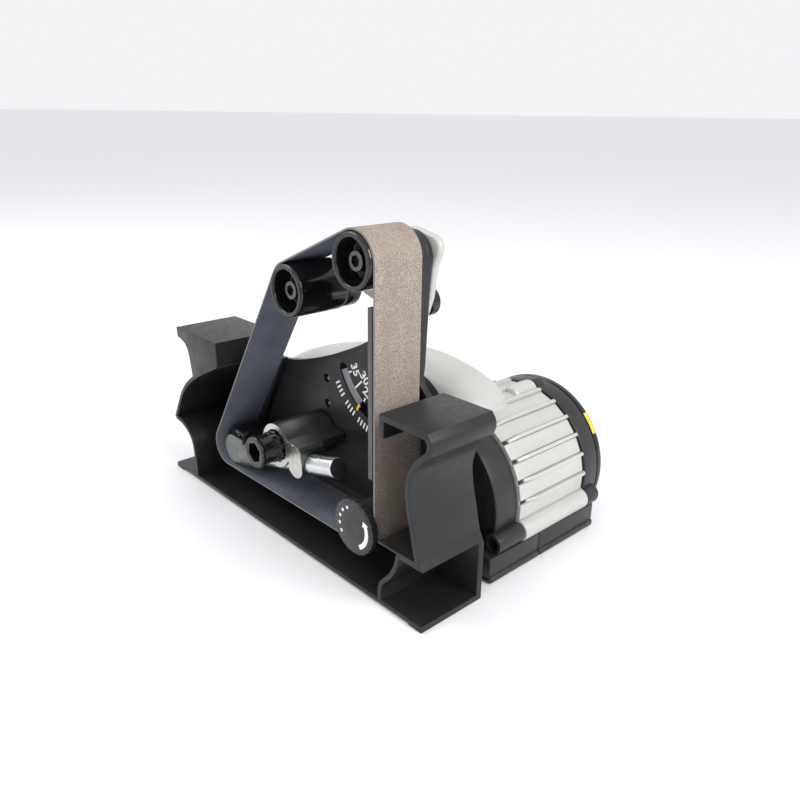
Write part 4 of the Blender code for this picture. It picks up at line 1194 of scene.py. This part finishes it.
def make_caps():
    """The dark collar in front of the barrel and the cap, bezel and dial behind it."""
    collar_back = RIB_FRONT - 0.3
    collar = shell_section("collar", dome(COLLAR_RADIUS, 90), COLLAR_FRONT, collar_back, "housing",
                           0.9)
    face = prism("collar_face", [dome(37.0, 60), arc(BARREL, 22.3, 0, 355, 71)],
                 COLLAR_FRONT + 0.2, COLLAR_FRONT + 3, "housing", 0.2)
    front, seat = COLLAR_FRONT - 3, COLLAR_FRONT - 3 + 7.0
    boss = lathe("boss", [(0, seat), (2.9, seat), (2.9, front), (4.8, front),
                          (4.8, collar_back - 0.1), (0, collar_back - 0.1)], LOWER_BOSS,
                 "housing", 0.45, 64)
    fixed("front_ring", [collar, face, boss], "black_plastic", "front_collar")
    cap_front = RIB_BACK + 0.3
    cap = shell_section("cap", dome(CAP_RADIUS, 90), cap_front, CAP_BACK, "housing", 0.8)
    cap_face = prism("cap_face", [dome(37.0, 60), arc(BARREL, 8.1, 0, 350, 35)], CAP_BACK - 3,
                     CAP_BACK - 0.1, "housing", 0.2)
    side = lathe("side", [(0, CAP_BACK - 1), (4.2, CAP_BACK - 1), (BOSS_RADIUS, CAP_BACK - 2.4),
                          (BOSS_RADIUS, cap_front + 0.1), (0, cap_front + 0.1)], LOWER_BOSS,
                 "housing", 0.5, 64)
    top = lathe("top", [(0, CAP_BACK - 8.7), (2.9, CAP_BACK - 8.7), (2.9, CAP_BACK - 5),
                        (BOSS_RADIUS, CAP_BACK - 5), (BOSS_RADIUS, cap_front + 0.1),
                        (0, cap_front + 0.1)], UPPER_BOSS, "housing", 0.4, 64)
    fixed("rear_cover", [cap, cap_face, side, top], "black_plastic", "rear_cap")

    inner = DIAL_RADIUS + 0.5
    bezel = lathe("bezel", [(inner, BEZEL_BACK), (37.0, BEZEL_BACK), (40.2, BEZEL_BACK - 0.9),
                            (BEZEL_RADIUS, BEZEL_BACK - 2.4), (BEZEL_RADIUS, CAP_BACK + 0.3),
                            (inner, CAP_BACK + 0.3)], BARREL, "gloss", 0.6, 120)
    cut(bezel, box("floor", (-100, 120, -30), (20, 150, SPLIT), None, 0.0))
    patch = sector(BARREL, BEZEL_RADIUS, BEZEL_RADIUS - 1.2, 29, 45, 12)
    mark = [prism("patch", [patch], CAP_BACK + 0.5, BEZEL_BACK - 2.5, "yellow", 0.04, 1)]
    for angle in range(30, 45, 2):
        line = sector(BARREL, BEZEL_RADIUS + 0.12, BEZEL_RADIUS - 0.4, angle, angle + 0.7, 2)
        mark.append(prism("ridge", [line], CAP_BACK + 0.6, BEZEL_BACK - 2.6, "yellow", 0.04, 1))
    fixed("rear_rim", [bezel] + mark, "gloss_black", "rear_bezel")
    wheel = prism("wheel", [moved(fluted(DIAL_RADIUS, 0.6, 32), BARREL)], CAP_BACK + 0.5,
                  DIAL_BACK - 0.9, "housing", 0.4)
    face = lathe("face", [(0, DIAL_BACK - 0.7), (15.0, DIAL_BACK - 0.7), (16.4, DIAL_BACK),
                          (21.0, DIAL_BACK), (22.8, DIAL_BACK - 1.0), (22.8, CAP_BACK + 0.6),
                          (0, CAP_BACK + 0.6)], BARREL, "housing", 0.5, 96)
    line = box("line", (BARREL[0] - 0.5, DIAL_BACK - 0.3, BARREL[1] + 16.6),
               (BARREL[0] + 0.5, DIAL_BACK, BARREL[1] + 21.0), "white", 0.1)
    gather("speed_wheel", [wheel, face, line], "dial", "black_plastic", "speed_dial")


FOOT = (-91.6, -3.6, 47.0, 127.0)
FOOT_SEAM = 82.5


def make_foot():
    """The black foot under the barrel, in two halves that meet at an upright seam."""
    left, right, front, back = FOOT
    halves = []
    for name, first, last in (("front_half", front, FOOT_SEAM - 0.15),
                              ("back_half", FOOT_SEAM + 0.15, back)):
        halves.append(box(name, (left + 0.9, first, 0.8), (right - 0.9, last, SPLIT - 0.3),
                          "housing", 0.7))
        halves.append(box(name + "_flare", (left, first, 0.0), (right, last, 3.4), "housing", 1.0))
    halves.append(box("core", (left + 2, front + 1, 0.4), (right - 2, back - 1, SPLIT - 1.5),
                      "rubber", 0.2))
    fixed("barrel_foot", halves, "black_plastic", "motor_foot")
    nose = lathe("nose", [(22.0, 58.0), (22.0, 46.0), (13.4, 41.0), (9.2, 41.0), (9.2, 58.0)],
                 BARREL, "zinc", 0.8, 96)
    fixed("nose_ring", [nose], "zinc", "mount_nose")


HANDLE_MIDDLE = 82.5
HANDLE_SKIN = 2.4
GLAND_HEIGHT = 34.0
HANDLE = [(-34.5, 64.5, 44.0, 14.5), (-38.0, 69.2, 42.0, 17.2), (-42.5, 73.2, 40.0, 18.6),
          (-48.5, 76.8, 40.0, 19.3), (-56.0, 79.7, 42.0, 19.5), (-69.0, 82.4, 46.0, 19.5),
          (-83.0, 83.7, 50.0, 19.5), (-96.0, 83.2, 51.0, 19.5), (-118.0, 80.2, 47.0, 19.5),
          (-142.0, 75.4, 41.0, 19.2), (-166.0, 68.6, 33.0, 18.4), (-186.0, 60.4, 26.0, 17.0),
          (-198.0, 52.6, 24.0, 14.5), (-203.0, 46.5, 27.0, 11.0)]
SEAM = [(-230.0, 24.0), (-203.0, 39.5), (-186.0, 50.5), (-166.0, 59.6), (-142.0, 67.2),
        (-118.0, 72.6), (-96.0, 76.4), (-82.0, 78.0), (-69.0, 77.2), (-57.8, 72.4), (-50.0, 66.0),
        (-30.0, 50.0)]


def gland_bar(name, first, last, radius, finish, steps, bevel):
    """A bar on the cord gland's axis, from one x to another."""
    return bar(name, (first, HANDLE_MIDDLE, GLAND_HEIGHT), (last, HANDLE_MIDDLE, GLAND_HEIGHT),
               radius, finish, steps, bevel)


def handle_tube(name, finish, *cutters):
    """The whole grip as a hollow tube of rounded sections, less the barrel and the cutters."""
    around = 64
    build = bmesh.new()
    rows = []
    for x, top, bottom, width in smooth_sections(HANDLE, 6):
        row = []
        for index in range(around):
            angle = math.tau * index / around
            across = math.copysign(abs(math.sin(angle)) ** 0.8, math.sin(angle))
            height = math.copysign(abs(math.cos(angle)) ** 0.9, math.cos(angle))
            row.append(build.verts.new(at(x, HANDLE_MIDDLE + width * across,
                                          ((top + bottom) + (top - bottom) * height) / 2)))
        rows.append(row)
    for first, second in zip(rows, rows[1:]):
        for index in range(around):
            after = (index + 1) % around
            build.faces.new((first[index], first[after], second[after], second[index]))
    build.faces.new(rows[0])
    build.faces.new(rows[-1])
    bmesh.ops.recalc_face_normals(build, faces=build.faces)
    mesh = mesh_from(name, build)
    tube = add(name, mesh, finish)
    skin = tube.modifiers.new("skin", "SOLIDIFY")
    skin.thickness = HANDLE_SKIN * MM
    saddle = plug("saddle", PANEL_RADIUS - 0.4, 140, 40, BARREL, None, 0.0, 120)
    return cut(tube, saddle, *cutters)


def smooth_sections(sections, count):
    """Catmull-Rom between the handle's sections, kept at their own numbers."""
    padded = [sections[0]] + list(sections) + [sections[-1]]
    result = []
    for index in range(1, len(padded) - 2):
        a, b, c, d = (padded[index + k] for k in (-1, 0, 1, 2))
        for step in range(count):
            result.append([between(*four, step / count) for four in zip(a, b, c, d)])
    result.append(list(sections[-1]))
    return result


def make_handle():
    """The silver upper shell, the black grip under it, and its trigger."""
    seam = smooth_line(SEAM, 5)
    below = [(x, z + 0.15) for x, z in seam] + [(-30.0, -20.0), (-230.0, -20.0)]
    above = [(x, z - 0.15) for x, z in seam] + [(20.0, 50.0), (20.0, 120.0), (-230.0, 120.0)]
    shell = handle_tube("upper", "silver", prism("below_seam", [below], 50, 115, None, 0.001, 0))
    fixed("handle_shell", [shell], "silver_plastic", "handle_top")
    grip = handle_tube("lower", "grip", prism("above_seam", [above], 50, 115, None, 0.001, 0),
                       box("trigger_slot", (-113.4, HANDLE_MIDDLE - 5.4, 40),
                           (-89.6, HANDLE_MIDDLE + 5.4, 56), None, 0.4),
                       gland_bar("gland_hole", -215, -190, 4.4, None, 48, 0.0))
    fixed("handle_under", [grip], "black_plastic", "handle_grip")
    outline = [(-90.2, 57.5), (-90.6, 47.5)] + smooth_line(
        [(-92.4, 46.0), (-96.0, 44.0), (-103.0, 41.5), (-109.5, 39.8)], 5)
    outline += [(-111.4, 43.5), (-109.6, 57.5)]
    trigger = prism("blade", [outline], HANDLE_MIDDLE - 5.0, HANDLE_MIDDLE + 5.0, "yellow", 1.0, 4)
    gather("trigger_blade", [trigger], "trigger", "yellow", "trigger")


def make_gland():
    """The bare cord gland at the handle's end."""
    rings = []
    for first, last, radius, hole in ((-207.5, -197.5, 4.2, 2.6), (-206.8, -203.4, 5.6, 3.4)):
        rings.append(cut(gland_bar("ring", first, last, radius, "rubber", 64, 0.5),
                         gland_bar("hole", first - 3, last + 3, hole, None, 48, 0.0)))
    fixed("cord_bush", rings, "rubber", "cord_gland")


def make_screws():
    screws = [(f"frame_screw_{number}", f"plate_screw_{number}", spot, *SCREW_DEPTHS)
              for number, spot in enumerate(PLATE_SCREWS, 1)]
    for number in (1, 2):
        low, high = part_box(f"casting_screw_{number}")
        middle = ((low + high) / 2 - ZERO) / MM
        screws.append((f"hub_screw_{number}", f"casting_screw_{number}", (middle.x, middle.z),
                       *SCREW_DEPTHS))
    screws += [("side_boss_screw", "side_screw", LOWER_BOSS, COLLAR_FRONT + 6.6,
                COLLAR_FRONT + 3.6, 2.7, 118.0, -1),
               ("top_boss_screw", "top_screw", UPPER_BOSS, CAP_BACK - 8.4, CAP_BACK - 5.4, 2.7,
                RIB_BACK - 12, 1)]
    for name, node, *shape in screws:
        fixed(name, [socket_screw(*shape)], "dark_metal", node)


NODE_FINISH = {
    "black_plastic": "housing", "gloss_black": "gloss", "dark_metal": "dark", "steel": "steel",
    "zinc": "zinc", "silver_plastic": "silver", "abrasive": "abrasive", "graphite": "graphite",
    "brass": "copper", "yellow": "yellow", "rubber": "rubber",
}


def dress_nodes():
    """Materials for the CAD nodes whose shapes stay as they are."""
    for part in frame["record"]["subparts"]:
        node = frame["nodes"][part["node"]]
        finish_all(node.data, NODE_FINISH[part["material_slot"]])
        shade(node.data)


make_camera()
make_studio()
dress_nodes()
make_frame()
make_plate()
make_scale()
make_pointer()
make_platen()
make_idlers()
make_arm()
make_belt()
make_tensioner()
make_knob()
make_barrel()
make_caps()
make_foot()
make_handle()
make_gland()
make_screws()
